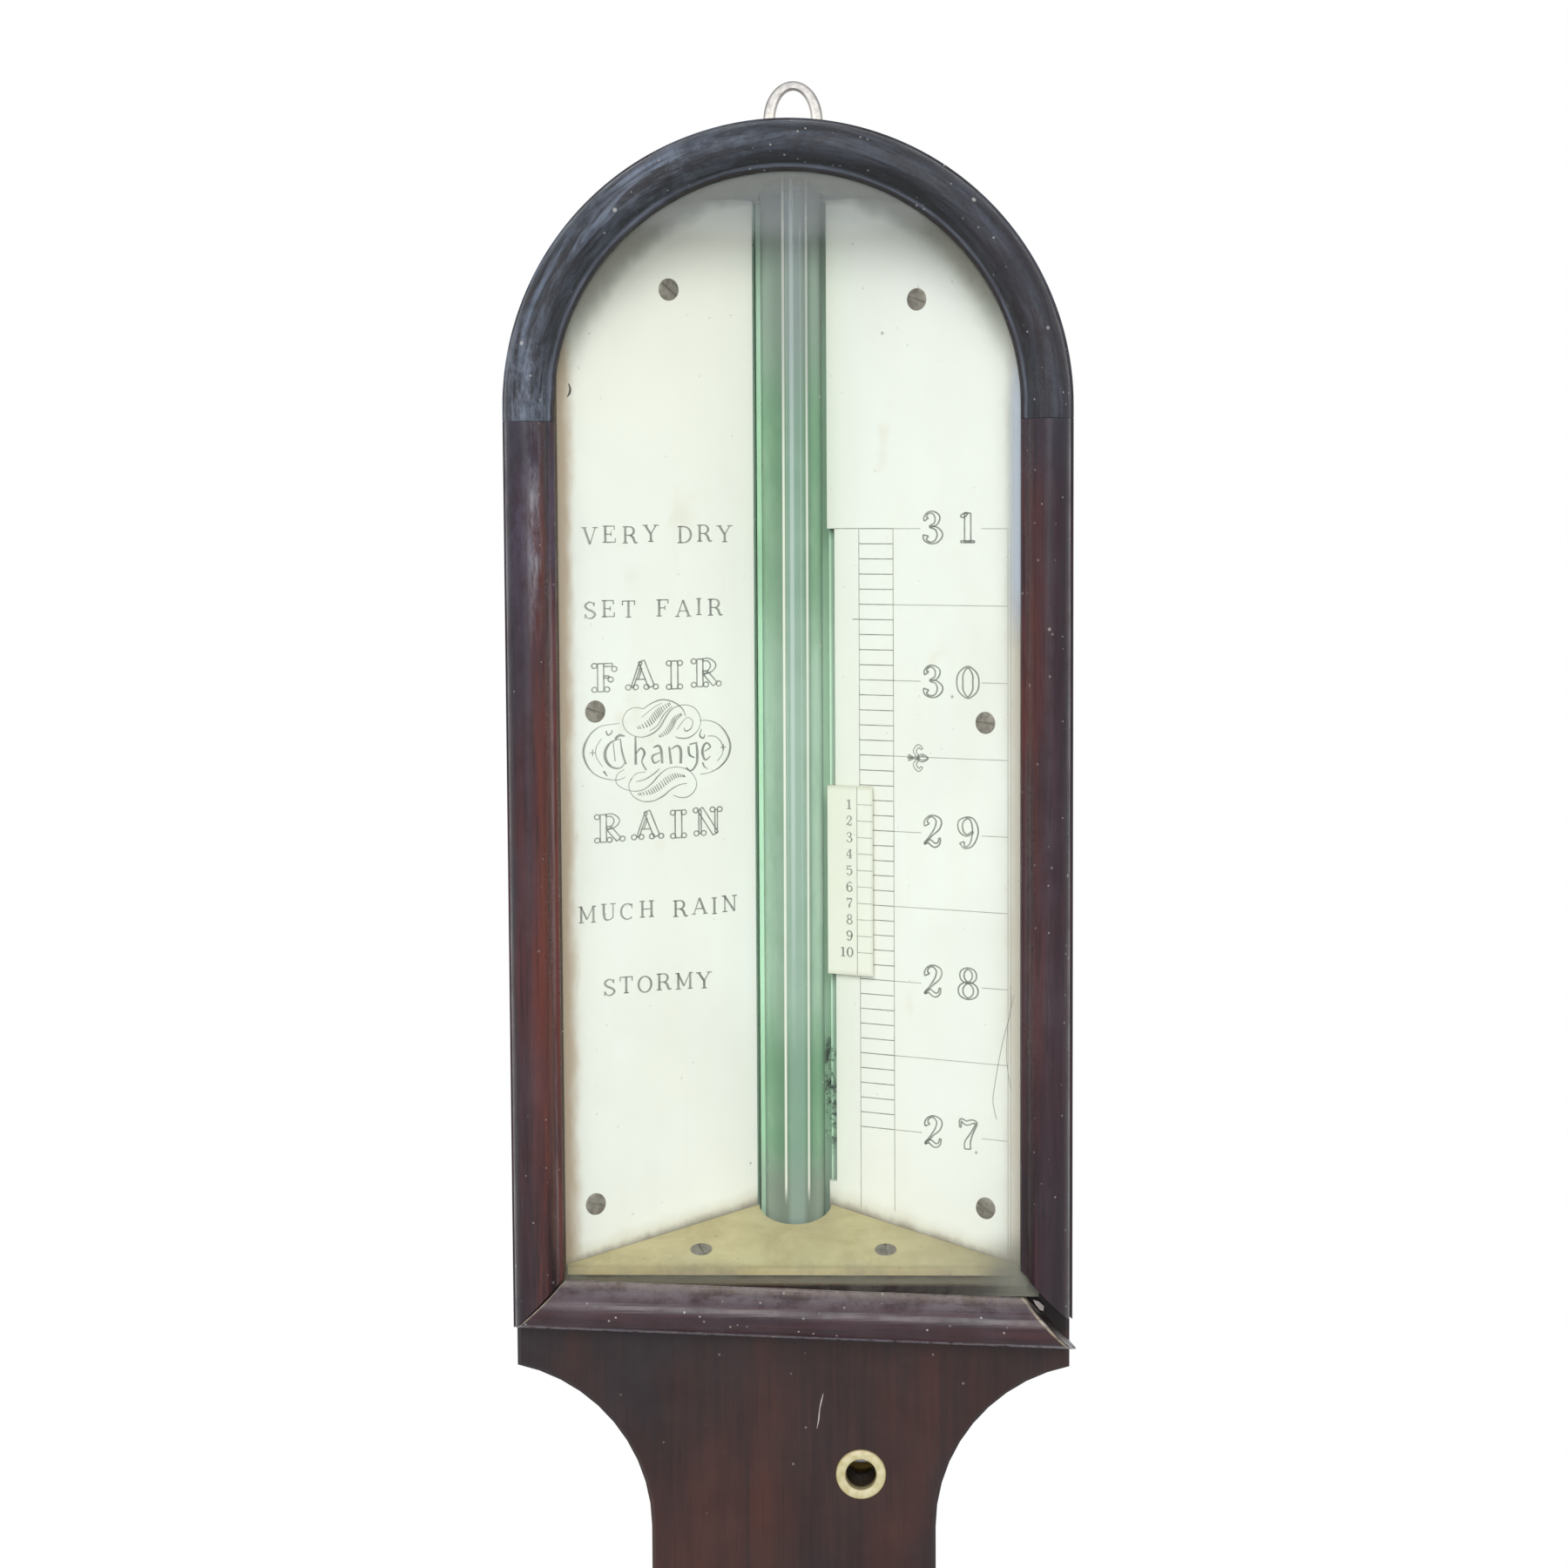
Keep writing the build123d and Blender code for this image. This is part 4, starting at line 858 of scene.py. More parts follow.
def open_capital(pen, letter):
    """One wide open-faced capital with round knobs for serifs, one unit tall; gives its width."""
    hair, knob = 0.045, 0.085

    def stem(ax, az, bx, bz, width=0.2):
        pen.outlined([(ax, az, width), (bx, bz, width)], hair, smooth=False)

    def knobs(*places):
        for px, pz in places:
            pen.ring(px, pz, knob, hair)

    if letter == "F":
        stem(0.3, 0.03, 0.3, 0.97), stem(0.4, 0.92, 0.68, 0.92, 0.1), stem(0.4, 0.52, 0.56, 0.52,
                0.07)
        knobs((0.1, 0.9), (0.1, 0.1), (0.5, 0.1), (0.74, 0.78), (0.62, 0.43))
        return 0.83
    if letter == "A":
        stem(0.22, 0.1, 0.5, 0.94, 0.08), stem(0.52, 0.97, 0.84, 0.1), pen.line(0.32, 0.36, 0.66,
                0.36, hair)
        pen.line(0.42, 0.36, 0.54, 0.74, hair)
        knobs((0.09, 0.1), (0.33, 0.1), (0.68, 0.1), (0.98, 0.1))
        return 1.06
    if letter == "I":
        stem(0.27, 0.03, 0.27, 0.97, 0.22)
        knobs((0.09, 0.9), (0.45, 0.9), (0.09, 0.1), (0.45, 0.1))
        return 0.54
    if letter == "R":
        stem(0.3, 0.03, 0.3, 0.97), stem(0.5, 0.48, 0.8, 0.1, 0.18)
        pen.outlined([(0.4, 0.94, 0.08), (0.6, 0.93, 0.1), (0.74, 0.74, 0.18), (0.6, 0.54, 0.1),
                      (0.4, 0.52, 0.08)], hair)
        knobs((0.1, 0.9), (0.1, 0.1), (0.5, 0.1), (0.92, 0.12))
        return 0.98
    stem(0.22, 0.1, 0.22, 0.9, 0.08), stem(0.22, 0.94, 0.74, 0.06), stem(0.76, 0.1, 0.76, 0.9, 0.08)
    knobs((0.08, 0.9), (0.1, 0.1), (0.34, 0.1), (0.64, 0.9), (0.88, 0.9))
    return 0.96


def set_word(pen, draw, text, left, right, foot, height):
    """Sets a word between two sides in mm, its letters spread evenly and a little uneven."""
    probe = Pen()
    widths = [draw(probe, letter) for letter in text]
    gap = ((right - left) / height - sum(widths)) / (len(text) - 1)
    along = left
    for i, (letter, width) in enumerate(zip(text, widths)):
        pen.at, pen.size = (along * mm, (foot + 0.07 * ((3 * i) % 5 - 2)) * mm), height * mm
        draw(pen, letter)
        along += (width + gap) * height


words = Pen()
set_word(words, plain_capital, "VERY DRY", -34.2, -10.1, -77.1, 2.85)
set_word(words, plain_capital, "SET FAIR", -34.1, -11.6, -89.4, 2.85)
set_word(words, plain_capital, "MUCH RAIN", -35.4, -9.6, -139.95, 2.85)
set_word(words, plain_capital, "STORMY", -31.6, -14.0, -152.45, 2.85)
set_word(words, open_capital, "FAIR", -32.9, -12.1, -101.65, 4.95)
set_word(words, open_capital, "RAIN", -32.7, -12.0, -126.75, 4.9)
words.lay("weather_words", on_plate(), wax, "case")


# The middle word stands in old letters between two round curls, with a twist of scrolls
# and short shading cuts above and below it, as engravers of such plates often drew.
def flourish(pen):
    def sweep(*points):
        pen.curve([(px, pz, width) for px, pz, width in points])

    def cuts(row, reach):
        """Short cuts across a row of places, longest in its middle."""
        dense = curve_through([(px, pz, 0) for px, pz in row], 4)
        for i, (px, pz, _) in enumerate(dense):
            half = reach * (0.35 + 0.65 * sin(pi * i / (len(dense) - 1)))
            pen.line(px - half * 0.5, pz + half, px + half * 0.5, pz - half, 1.0, 1.5)

    sweep((-16, 50, .8), (-7, 56, 1.2), (5, 60, 1.6), (18, 57, 1.6), (28, 49, 1.2), (32, 40, .8))
    sweep((-16, 50, .8), (-25, 52, .8), (-33, 49, .8), (-38, 42, .8), (-39, 34, .8), (-35, 25, .8),
          (-27, 19, .8), (-17, 17, 1), (-7, 20, 1.4), (2, 27, 1.9), (8, 37, 1.9), (14, 46, 1.4),
          (21, 51, 1), (32, 53, .8), (42, 49, .8), (48, 40, .8), (49, 30, .8), (44, 20, 1),
          (35, 14, 1.5), (25, 14, 1.4), (20, 16, .8))
    sweep((-18, 40, .7), (-12, 45, .7), (-3, 52, .7), (5, 56, .7))
    sweep((-9, 24, .7), (0, 30, 1), (7, 42, 1.3), (17, 52, .8))
    sweep((22, 24, .7), (29, 34, .7), (35, 38, .7), (40, 33, .8), (38, 25, 1), (32, 22, 1.6),
          (30, 26, .8))
    cuts([(-22, 28), (-10, 33), (-2, 42), (5, 49), (14, 55)], 4.2)
    cuts([(2, 17), (10, 22), (16, 30), (20, 37), (27, 42)], 3.6)
    sweep((-38, -20, .7), (-46, -26, .8), (-47, -35, .8), (-40, -42, .8), (-28, -46, .8),
          (-17, -45, 1.1), (-7, -38, 1.4), (1, -29, 1.4), (10, -22, 1), (21, -20, .8),
          (32, -23, .8), (40, -30, .8), (44, -40, .8), (41, -50, 1), (33, -56, 1.2), (24, -56, 1),
          (17, -53, .8))
    sweep((-30, -31, .8), (-33, -40, .8), (-29, -51, .9), (-19, -58, 1), (-7, -59, 1.3),
          (5, -54, 1.5), (15, -46, 1.4), (25, -41, 1), (33, -40, .8))
    sweep((-25, -35, .7), (-15, -33, 1.1), (-5, -27, 1.3), (2, -21, .8))
    sweep((-14, -24, .7), (-25, -26, .7), (-31, -34, .7))
    cuts([(-22, -50), (-10, -48), (0, -43), (10, -35), (20, -30), (30, -31)], 3.8)
    sweep((-43, 34, .7), (-55, 33, .8), (-65, 31, 1.1), (-75, 23, 1.8), (-82, 10, 2.4),
          (-83, -2, 2.4), (-79, -14, 2), (-71, -24, 1.4), (-59, -30, 1), (-45, -32, .8),
          (-37, -29, .8))
    sweep((48, 34, .7), (60, 33, .9), (71, 27, 1.4), (79, 16, 2), (83, 3, 2.4), (80, -11, 2.2),
          (71, -22, 1.6), (60, -28, 1), (48, -30, .8))
    sweep((-63, 17, .7), (-69, 7, 1), (-69, -4, 1), (-62, -16, .7))
    sweep((57, 15, .7), (66, 14, 1), (73, 6, 1), (74, -6, .8), (68, -15, .7))
    for px, pz in ((-73, 1), (75, 1)):
        pen.line(px - 3, pz, px + 3, pz, 1.2), pen.line(px, pz - 4, px, pz + 4, 1.2)
    sweep((-58, 26, 1.5), (-56, 21, 1.8), (-52, 23, 1.5), (-51, 27, 1)), sweep((-61, -21, 2.4),
            (-57, -27, 1.2))
    sweep((50, 24, 1), (48, 16, 2), (52, 13, 2), (54, 17, 1)), sweep((51, -16, 2), (53, -21, 1.6),
            (57, -24, .8))


def old_word(pen):
    """The word in upright broken strokes."""
    for points in (((-37, 19, 1.5), (-43, 20, 3), (-48, 16, 2.4)),
                   ((-43, 16, 1), (-53, 12, 2.2), (-59, 2, 3.4), (-58, -9, 3.4), (-51, -17, 2.4),
                    (-42, -18, 1.4), (-37, -12, 1)), ((-50, 12, 1), (-48, -10, 1.2)),
                   ((-42, 16, 1.4), (-40, 0, 2), (-36, -14, 2.2)), ((-25, 18, 2), (-25, -15, 3)),
                   ((-25, -3, 1), (-19, 4, 2), (-15, -2, 2.6), (-18, -12, 1.4), (-13, -22, 2)),
                   ((-5, 4, 1.6), (1, 6, 2.6), (4, 0, 3), (5, -15, 2.6)),
                   ((3, -2, 1), (-6, -6, 2.4), (-4, -14, 2.2), (3, -11, 1)),
                   ((13, 4, 2.4), (15, -16, 3)), ((15, 1, 1), (22, 5, 2.2), (26, 0, 3),
                   (26, -16, 3)), ((36, 6, 2), (45, 8, 1.6)),
                   ((35, 4, 2.6), (36, -6, 2.6), (42, -10, 1.4)),
                   ((44, 7, 2), (45, -5, 2.8), (44, -17, 2.6), (38, -25, 1.8), (32, -21, 1.6)),
                   ((60, -9, 1), (54, -13, 2), (51, -5, 3), (52, 3, 2.4), (56, 7, 2), (60, 2, 1.8),
                    (53, -3, 1))):
        pen.curve(points)


ornament = Pen()
ornament.at, ornament.size = (-22.4 * mm, -111.88 * mm), 0.1425 * mm
flourish(ornament)
old_word(ornament)
ornament.lay("middle_word", on_plate(), wax, "case")


# The scale runs from 31 inches down to 27, with tenths in a narrow column, longer lines
# at the half inches and numbers at the inches, inside a double border.
digits = {"0": [[(.32, 1, .05), (.1, .78, .15), (.06, .5, .2), (.1, .22, .15), (.32, 0, .05),
                 (.54, .22, .15), (.58, .5, .2), (.54, .78, .15)]],
          "1": [[(.32, .04, .2), (.32, .97, .2)], [(.3, .97, .06), (.2, .9, .12), (.1, .86, .06)],
                [(.1, .04, .06), (.54, .04, .06)]],
          "2": [[(.14, .7, .18), (.1, .8, .1), (.18, .95, .05), (.34, 1, .06), (.52, .86, .17),
                 (.48, .62, .16), (.28, .36, .06), (.06, .06, .05)],
                [(.06, .08, .05), (.2, .16, .12), (.38, .04, .14), (.52, .1, .08),
                 (.56, .28, .05)]], "3": [[(.14, .76, .18), (.1, .84, .08), (.2, .98, .05),
                                           (.36, .99, .08), (.5, .84, .16), (.44, .62, .1),
                                           (.26, .53, .05), (.46, .47, .1), (.58, .27, .18),
                                           (.46, .05, .1), (.26, 0, .05), (.1, .1, .08),
                                           (.12, .24, .18)]],
          "4": [[(.42, .04, .18), (.42, .97, .18)],
                [(.4, .97, .05), (.06, .32, .05), (.6, .32, .05)],
                [(.26, .04, .06), (.58, .04, .06)]],
          "5": [[(.12, .98, .05), (.1, .56, .05), (.3, .64, .07), (.54, .5, .16), (.54, .22, .18),
                 (.36, 0, .06), (.14, .05, .08), (.12, .2, .16)],
                [(.12, .93, .1), (.36, .9, .12), (.54, .97, .05)]],
          "6": [[(.5, .82, .16), (.4, .99, .05), (.16, .84, .12), (.07, .45, .19), (.14, .1, .13),
                 (.34, 0, .05), (.56, .16, .15), (.54, .44, .13), (.36, .58, .05),
                 (.16, .46, .06)]], "7": [[(.06, .74, .05), (.08, .98, .08), (.26, .9, .14),
                                           (.46, .96, .12), (.58, .9, .05), (.42, .54, .08),
                                           (.3, .26, .18), (.3, .03, .2)]],
          "8": [[(.32, 1, .05), (.14, .88, .13), (.14, .66, .13), (.32, .53, .05), (.5, .66, .13),
                 (.5, .88, .13)], [(.32, .53, .05), (.1, .38, .14), (.1, .14, .14), (.32, 0, .05),
                                   (.54, .14, .14), (.54, .38, .14)]],
          "9": [[(.12, .18, .16), (.22, .01, .05), (.44, .14, .12), (.56, .55, .19),
                 (.48, .9, .13), (.3, 1, .05), (.08, .84, .15), (.1, .56, .13), (.28, .42, .05),
                 (.48, .54, .06)]],}
closed_digits = "08"


def write_number(pen, text, left, right, foot, height, hair=0.0):
    """Writes digits between two sides in mm: open-faced where hair is given, else solid."""
    wide = 0.66 * height
    step = (right - left - wide) / (len(text) - 1) if len(text) > 1 else 0
    for i, digit in enumerate(text):
        pen.at, pen.size = ((left + i * step) * mm, foot * mm), height * mm
        for stroke in digits[digit]:
            closed = digit in closed_digits
            if hair:
                pen.outlined(stroke, hair, closed=closed, smooth=len(stroke) > 2)
            else:
                pen.curve([(px, pz, max(width, 0.09) * 0.9) for px, pz, width in stroke], 5, closed)
    pen.at, pen.size = (0.0, 0.0), 1.0


numbers = Pen()
for i, (text, foot) in enumerate((("31", -77.35), ("30", -102.9), ("29", -127.95), ("28", -153.2),
                                  ("27", -178.75))):
    write_number(numbers, text, 21.9, 31.1, foot, 5.05, hair=0.05)
numbers.at, numbers.size = (21.1 * mm, -113.25 * mm), 1.0 * mm
for way in (1, -1):
    numbers.outlined([(0.1, way * 0.2, .3), (-0.5, way * 1.1, .5), (0.1, way * 2.0, .5),
                      (0.7, way * 1.5, .3)], 0.18)
numbers.outlined([(-0.1, 0, .2), (0.7, 0.5, .3), (1.7, 0, .1), (0.7, -0.5, .3), (-0.1, 0, .2)], 0.2)
numbers.curve([(-1.6, 0.5, .3), (-1.0, 0, .6), (-1.6, -0.5, .3)]), numbers.curve([(-1.8, 0, .3),
        (-0.2, 0, .6)])
numbers.lay("scale_numbers", on_plate(), wax, "case")

ruled = Pen()
column_in, column_out, border_x = 11.3 * mm, 17.05 * mm, 35.9 * mm
for tenth in range(41):
    ruled.line(column_in, line_31 - tenth * inch / 10, column_out, line_31 - tenth * inch / 10,
               0.16 * mm)
ruled.line(7.15 * mm, line_31, column_in, line_31, 0.14 * mm)
ruled.line(10.2 * mm, line_31 - 0.6 * inch, column_in, line_31 - 0.6 * inch, 0.16 * mm)
ruled.lay("tenth_lines", on_plate(), wax, "case")
framed = Pen()
for half in range(9):
    z = line_31 - half * inch / 2
    if half % 2:
        framed.line(column_out, z, border_x, z, 0.13 * mm)
    else:
        framed.line(column_out, z, 21.6 * mm, z, 0.13 * mm), framed.line(31.6 * mm, z, border_x, z,
                0.13 * mm)
for px in (column_in, column_out):
    framed.line(px, line_31, px, -190.6 * mm, 0.14 * mm)
for px in (border_x, border_x + 0.45 * mm):
    framed.line(px, line_31, px, -196 * mm, 0.1 * mm)
framed.lay("border_lines", on_plate(), faint_wax, "case")


# The foot of the register: a dark block with dust on it, and a sloping plate of brass
# screwed on top, dull and yellow-brown, notched round the tube.
sill_wood, shader = new_finish("sill_wood", 0.8)
x, y, z = axes()
grit = noise(spot_on((0.4, 1, 1)), 700, 8, 0.75)
colour = mix(ramp(grit, 0.35, 0.65), "2c261f", "5a5345")
colour = mix(ramp(z, -198.6 * mm, -199.8 * mm, 0, 0.8), colour, "77705c")
feed(shader, "Base Color", colour)
relief(shader, grit, 0.0003)
dress(sill_wood, "register_sill")

aged_brass, shader = new_finish("aged_brass", 0.55, 0.3)
x, y, z = axes()
tarnish = noise(spot_on(), 95, 7, 0.68, 0.5)
rubbed = noise(spot_on((0.3, 1, 1)), 900, 4, 0.6)
colour = mix(ramp(tarnish, 0.34, 0.68), "cfc499", "bbae83")
colour = mix(ramp(rubbed, 0.5, 0.8, 0, 0.3), colour, "dccfa3")
colour = mix(ramp(y, -35 * mm, -36.6 * mm, 0, 0.4), colour, "8f7f56")
colour = mix(ramp(x, 8 * mm, 36 * mm, 0, 0.55), colour, "98927c")
colour = mix(ramp(noise(spot_on(), 420, 6, 0.75), 0.62, 0.74, 0, 0.5), colour, "6b6044")
feed(shader, "Base Color", colour)
feed(shader, "Roughness", ramp(tarnish, 0.3, 0.7, 0.4, 0.62))
relief(shader, tarnish, 0.00006)
dress(aged_brass, "brass_bottom_plate")


# The screws: slotted and countersunk, filed flush by hand, of dull iron. One is turned
# and slotted here, and its copies stand at every screw of the instrument.
def turned(name, profile, axis=(0, 0, 1), at=(0, 0, 0), steps=48, smooth=35):
    """A piece turned about a line through at, from (radius, distance along the axis) in mm."""
    along = Vector(axis)
    out = Vector((1, 0, 0))
    corners = [Vector(at) + out * r * mm + along * h * mm for r, h in profile]
    piece = flat_piece(name, corners, filled=False)
    bpy.ops.mesh.spin(steps=steps, angle=2 * pi, center=at, axis=axis)
    close_up(piece, smooth)
    return piece


def carve(piece, cutter):
    """Cuts the cutter's shape out of a piece; the cutter goes."""
    taken = piece.modifiers.new("taken_out", "BOOLEAN")
    taken.operation, taken.solver, taken.object = "DIFFERENCE", "EXACT", cutter
    pick(piece)
    bpy.ops.object.modifier_apply(modifier=taken.name)
    bpy.data.objects.remove(cutter)
    pick(piece)
    bpy.ops.object.shade_smooth_by_angle(angle=radians(35))


def made_screw(name, length):
    """A screw with its head's face at the origin, its point down and its slot along X."""
    screw = turned(name, [(0, 0), (1.7, 0), (1.85, -0.08), (0.9, -1.0), (0.9, -length + 0.8),
                          (0, -length)], steps=28)
    blade = begin(bpy.ops.mesh.primitive_cube_add, size=1, scale=(3.2 * mm, 0.36 * mm, 0.5 * mm))
    bpy.ops.object.transform_apply(scale=True)
    carve(screw, blade)
    return screw


def standing(x, depth, z, normal, turn):
    """The place of a screw: its head's middle in mm, the way its head faces and its slot's turn."""
    out = Vector(normal).normalized()
    along = Vector((0, 0, 1)) - out * out.z
    along.normalize()
    turned_frame = Matrix((along, out.cross(along), out)).transposed().to_4x4()
    return Matrix.Translation((x * mm, -depth * mm,
                               z * mm)) @ turned_frame @ Matrix.Rotation(radians(turn), 4, "Z")


def screw_set(name, places, finish, slot, length=8.0):
    """Copies of one screw at the given places, kept together as one piece."""
    first = made_screw(name, length)
    copies = [first]
    for _ in places[1:]:
        copy = first.copy()
        copy.data = first.data.copy()
        bpy.context.scene.collection.objects.link(copy)
        copies.append(copy)
    for copy, place in zip(copies, places):
        copy.data.transform(place)
    pick(*copies)
    if len(copies) > 1:
        bpy.ops.object.join()
    joined = bpy.context.object
    joined.name = name + "_smooth"
    finish_piece(joined, finish, "case", slot, name)
    return joined


def metal(name, dark, light, roughness=0.42, metallic=0.8, scale=900, bumps=0.00004):
    made, shader = new_finish(name, roughness, metallic)
    wear = noise(spot_on(), scale, 6, 0.7, 0.4)
    feed(shader, "Base Color", mix(ramp(wear, 0.3, 0.7), dark, light))
    feed(shader, "Roughness", ramp(wear, 0.3, 0.75, roughness - 0.1, roughness + 0.15))
    relief(shader, wear, bumps)
    return made


iron = metal("dull_iron", "6f6960", "9a948a", 0.5, 0.5)
brassy = metal("screw_brass", "8b7436", "b79d55", 0.4, 0.8)
lean = atan2(slope, 1)
register_spots = ((-20, 39.75, 50), (-32.3, -29.9, 70), (-33, -112.6, 75),
                  (21.05, 37.8, 70), (32.2, -32, 85), (32.2, -113.3, 60))
places = []
for x, rise, turn in register_spots:
    side = 1 if x > 0 else -1
    depth = 18 + (abs(x) - 6.2) * slope + 0.1
    places.append(standing(x, depth, -75 + rise, (-side * sin(lean), -cos(lean), 0), turn))
screw_set("register_screws", places, iron, "dull_steel")
climb = 7.1 / 18.6            # the brass plate's slope
screw_set("brass_plate_screws", [standing(x, 31.4, -190.5 - 13.4 * climb + 0.1, (0, -climb, 1),
                                          turn) for x, turn in ((-15.5, 20), (15.5, 5))], iron,
          "dull_steel", 4.4)
screw_set("bracket_screws", [standing(11.3, 18.3, -232.2 + rise, (0, -1, 0), 60)
                             for rise in (-9, 9)], brassy, "screw_brass", 6.0)
screw_set("cover_screws", [standing(x, 41.5, -877.4, (0, -1, 0), turn)
                           for x, turn in ((-26.5, -30), (26.5, 30))], brassy, "screw_brass", 9.0)
strip_rows = (-209.2, -518.8, -828.4, -920.55)
screw_set("back_strip_screws", [standing(side * 13, 0.1, z, (0, 1, 0), 25 * i)
                                for i, z in enumerate(strip_rows) for side in (-1, 1)], iron,
          "dull_steel")
screw_set("hanging_plate_screws", [standing(x, 0.1, -9.1 - fall, (0, 1, 0), 40 + 9 * fall)
                                   for x, fall in ((0, 9), (-4.5, 32), (4.5, 32))], iron,
          "dull_steel", 7.8)


# The vernier: a bone slip that slides over the scale's edge, divided in ten beside its
# own numbers, on a brass stem soldered to the rack that runs in the channel's side.
vernier_bone, shader, colour = bone("vernier_bone", "f0f1e6", "e9ead9")
x, y, z = axes()
edge = calc("MAXIMUM", ramp(z, -149.7 * mm, -150.4 * mm), ramp(z, -119.2 * mm, -118.5 * mm))
edge = calc("MAXIMUM", edge, ramp(x, 12.9 * mm, 13.5 * mm))
colour = mix(edge * 0.25, colour, "a9a27f")
feed(shader, "Base Color", colour)
dress(vernier_bone, "vernier_plate")
vernier_lift = (0.25 + 1.373) * mm   # its face over the right plate, out from the wall
vernier_depth = on_plate(vernier_lift + cut_lift)
vernier_first = -121.42       # the mark numbered 1, in mm
vernier_step = 1.1 * 2.54     # ten marks take eleven tenths of an inch
vernier_top = -118.5 * mm
vernier_foot = -150.4 * mm
vernier_border = 10.82 * mm   # a fine line between the numbers and the marks
divided = Pen()
divided.line(vernier_border, vernier_top, vernier_border, vernier_foot, 0.14 * mm)
for i in range(10):
    z = (vernier_first - i * vernier_step) * mm
    divided.line(vernier_border, z, 13.45 * mm, z, 0.13 * mm)
divided.lay("vernier_lines", vernier_depth, faint_wax, "vernier", "vernier_bone")
counted = Pen()
for i in range(10):
    foot = vernier_first - i * vernier_step - 0.85
    text = str(i + 1)
    write_number(counted, text, 10.1 - 1.12 * len(text), 10.1 + 0.02, foot, 1.65)
counted.lay("vernier_numbers", vernier_depth, wax, "vernier", "vernier_bone")

rack_brass = metal("rack_brass", "8d7434", "b89a50", 0.45, 0.85)
dress(rack_brass, "vernier_carrier", "rack_bar")


# The pinion under the keyhole: a small brass wheel of ten teeth on a steel arbor with a
# square end, held in a bent brass strap. A loose key from the front turns it.
bright_steel = metal("arbor_steel", "74757a", "9fa1a5", 0.32, 0.95)
strap_brass = metal("strap_brass", "80692f", "a98e4b", 0.5, 0.8, 500)
dress(strap_brass, "pinion", "pinion_bracket")
dress(bright_steel, "pinion_arbor")


# The keyhole bush: turned from bone, pushed into the case, bevelled round its rim and
# yellowed, with dirt in its bore and painted shade darkening it deeper in.
bush_at = (11.3 * mm, 0, -232.2 * mm)
bush = turned("bush_smooth", [(2.5, -28), (4.2, -28), (4.2, -38.05), (4.08, -38.28), (3.75, -38.4),
                              (2.78, -38.4), (2.58, -38.28), (2.5, -38)], axis=(0, 1, 0),
              at=bush_at, steps=64)
bush_bone, shader = new_finish("bush_bone", 0.38)
x, y, z = axes()
dx = x - bush_at[0]
dz = z - bush_at[2]
off_axis = off_line(dx, dz)
mottle = noise(spot_on(), 700, 5, 0.65)
colour = mix(ramp(mottle, 0.3, 0.72), "cfc7a2", "b5aa7c")
colour = mix(ramp(off_axis, 3.7 * mm, 4.2 * mm, 0, 0.5), colour, "a8915d")
colour = mix(ramp(off_axis, 2.85 * mm, 2.52 * mm, 0, 0.7), colour, "7c6a45")
# Painted shade: darker deeper inside the bore.
colour = mix(ramp(y, -37.6 * mm, -36 * mm), colour, "3a2f24")
feed(shader, "Base Color", colour)
relief(shader, mottle, 0.00003)
finish_piece(bush, bush_bone, "case", "bush_bone", "keyhole_bush")


# The tube: thick drawn glass, closed at its top, standing in the cistern. What it bends
# from behind it is painted on its front as matt colour: the green board, a bluish stripe,
# pale highlight lines and darker lines, greyer in painted shade at the top.
tube_at = (0, -tube_depth, 0)
tube = turned("tube_smooth", [(1.4, -886.4), (5.0, -886.4), (5.1, -886.2), (5.1, -18.5),
                              (4.7, -17.1), (3.6, -16.2), (2.0, -15.85), (0, -15.8), (0, -26),
                              (0.9, -26.3), (1.4, -27)], at=tube_at, steps=56, smooth=50)
tube_glass = layered_finish("tube_glass")
x, y, z = axes()
skew = x - (z + 150 * mm) * 0.0018
ripple = (noise(spot_on((1, 1, 0.05)), 90, 2, 0.5) - 0.5) * (0.25 * mm)
skew = skew + ripple


def stripe(middle, half, strength):
    gap = abs(skew - middle * mm)
    return ramp(gap, half * mm, half * 0.45 * mm, 0, strength)


ahead = y + tube_depth
outside = off_line(x, ahead) > 3.2 * mm
in_front = outside * (y < -tube_depth)
# Painted shade: the colours seen in the tube turn grey towards its top, under the arch.
shaded_grey_top = ramp(z, -72 * mm, -40 * mm)
low_end = ramp(z, -190 * mm, -186 * mm)
straight = add_node("CombineXYZ", X=0.0, Y=-1.0, Z=0.0).outputs[0]


def painted_refraction(colour):
    """Matt colour painted on the tube's front as the refracted view of what lies behind, shading as
    if it lay flat.
    """
    return add_node("BsdfDiffuse", Color=colour, Normal=straight).outputs[0]


def laid_over(below, share, colour):
    return add_node("MixShader", i0=share * in_front, i1=below, i2=painted_refraction(colour)).outputs[0]


brushed = noise(spot_on((1, 1, 0.1)), 420, 6, 0.65, 0.4)
body = add_node("BsdfTransparent", Color=(0.99, 0.998, 0.994, 1)).outputs[0]
# Painted light: the board's colour on the tube is brightened towards its edges, against the shading
# of its round front.
edge_light_gain = ramp(x, -1.8 * mm, -5.0 * mm, 1, 1.6) * ramp(x, 2.2 * mm, 5.0 * mm, 1, 1.8)
body = laid_over(body, 0.85, brighter(board_green(brushed), edge_light_gain))
# Painted refraction: a bluish stripe down the middle of the tube.
body = laid_over(body, stripe(0.55, 1.9, 0.35), mix(shaded_grey_top, "a5bfb6", "a0aab0"))
# Painted shade: a dark green rim at the tube's very edges.
painted_edge_shade = ramp(abs(x), 4.9 * mm, 5.1 * mm, 0, 0.2)
body = laid_over(body, painted_edge_shade, paint("5f7a66"))
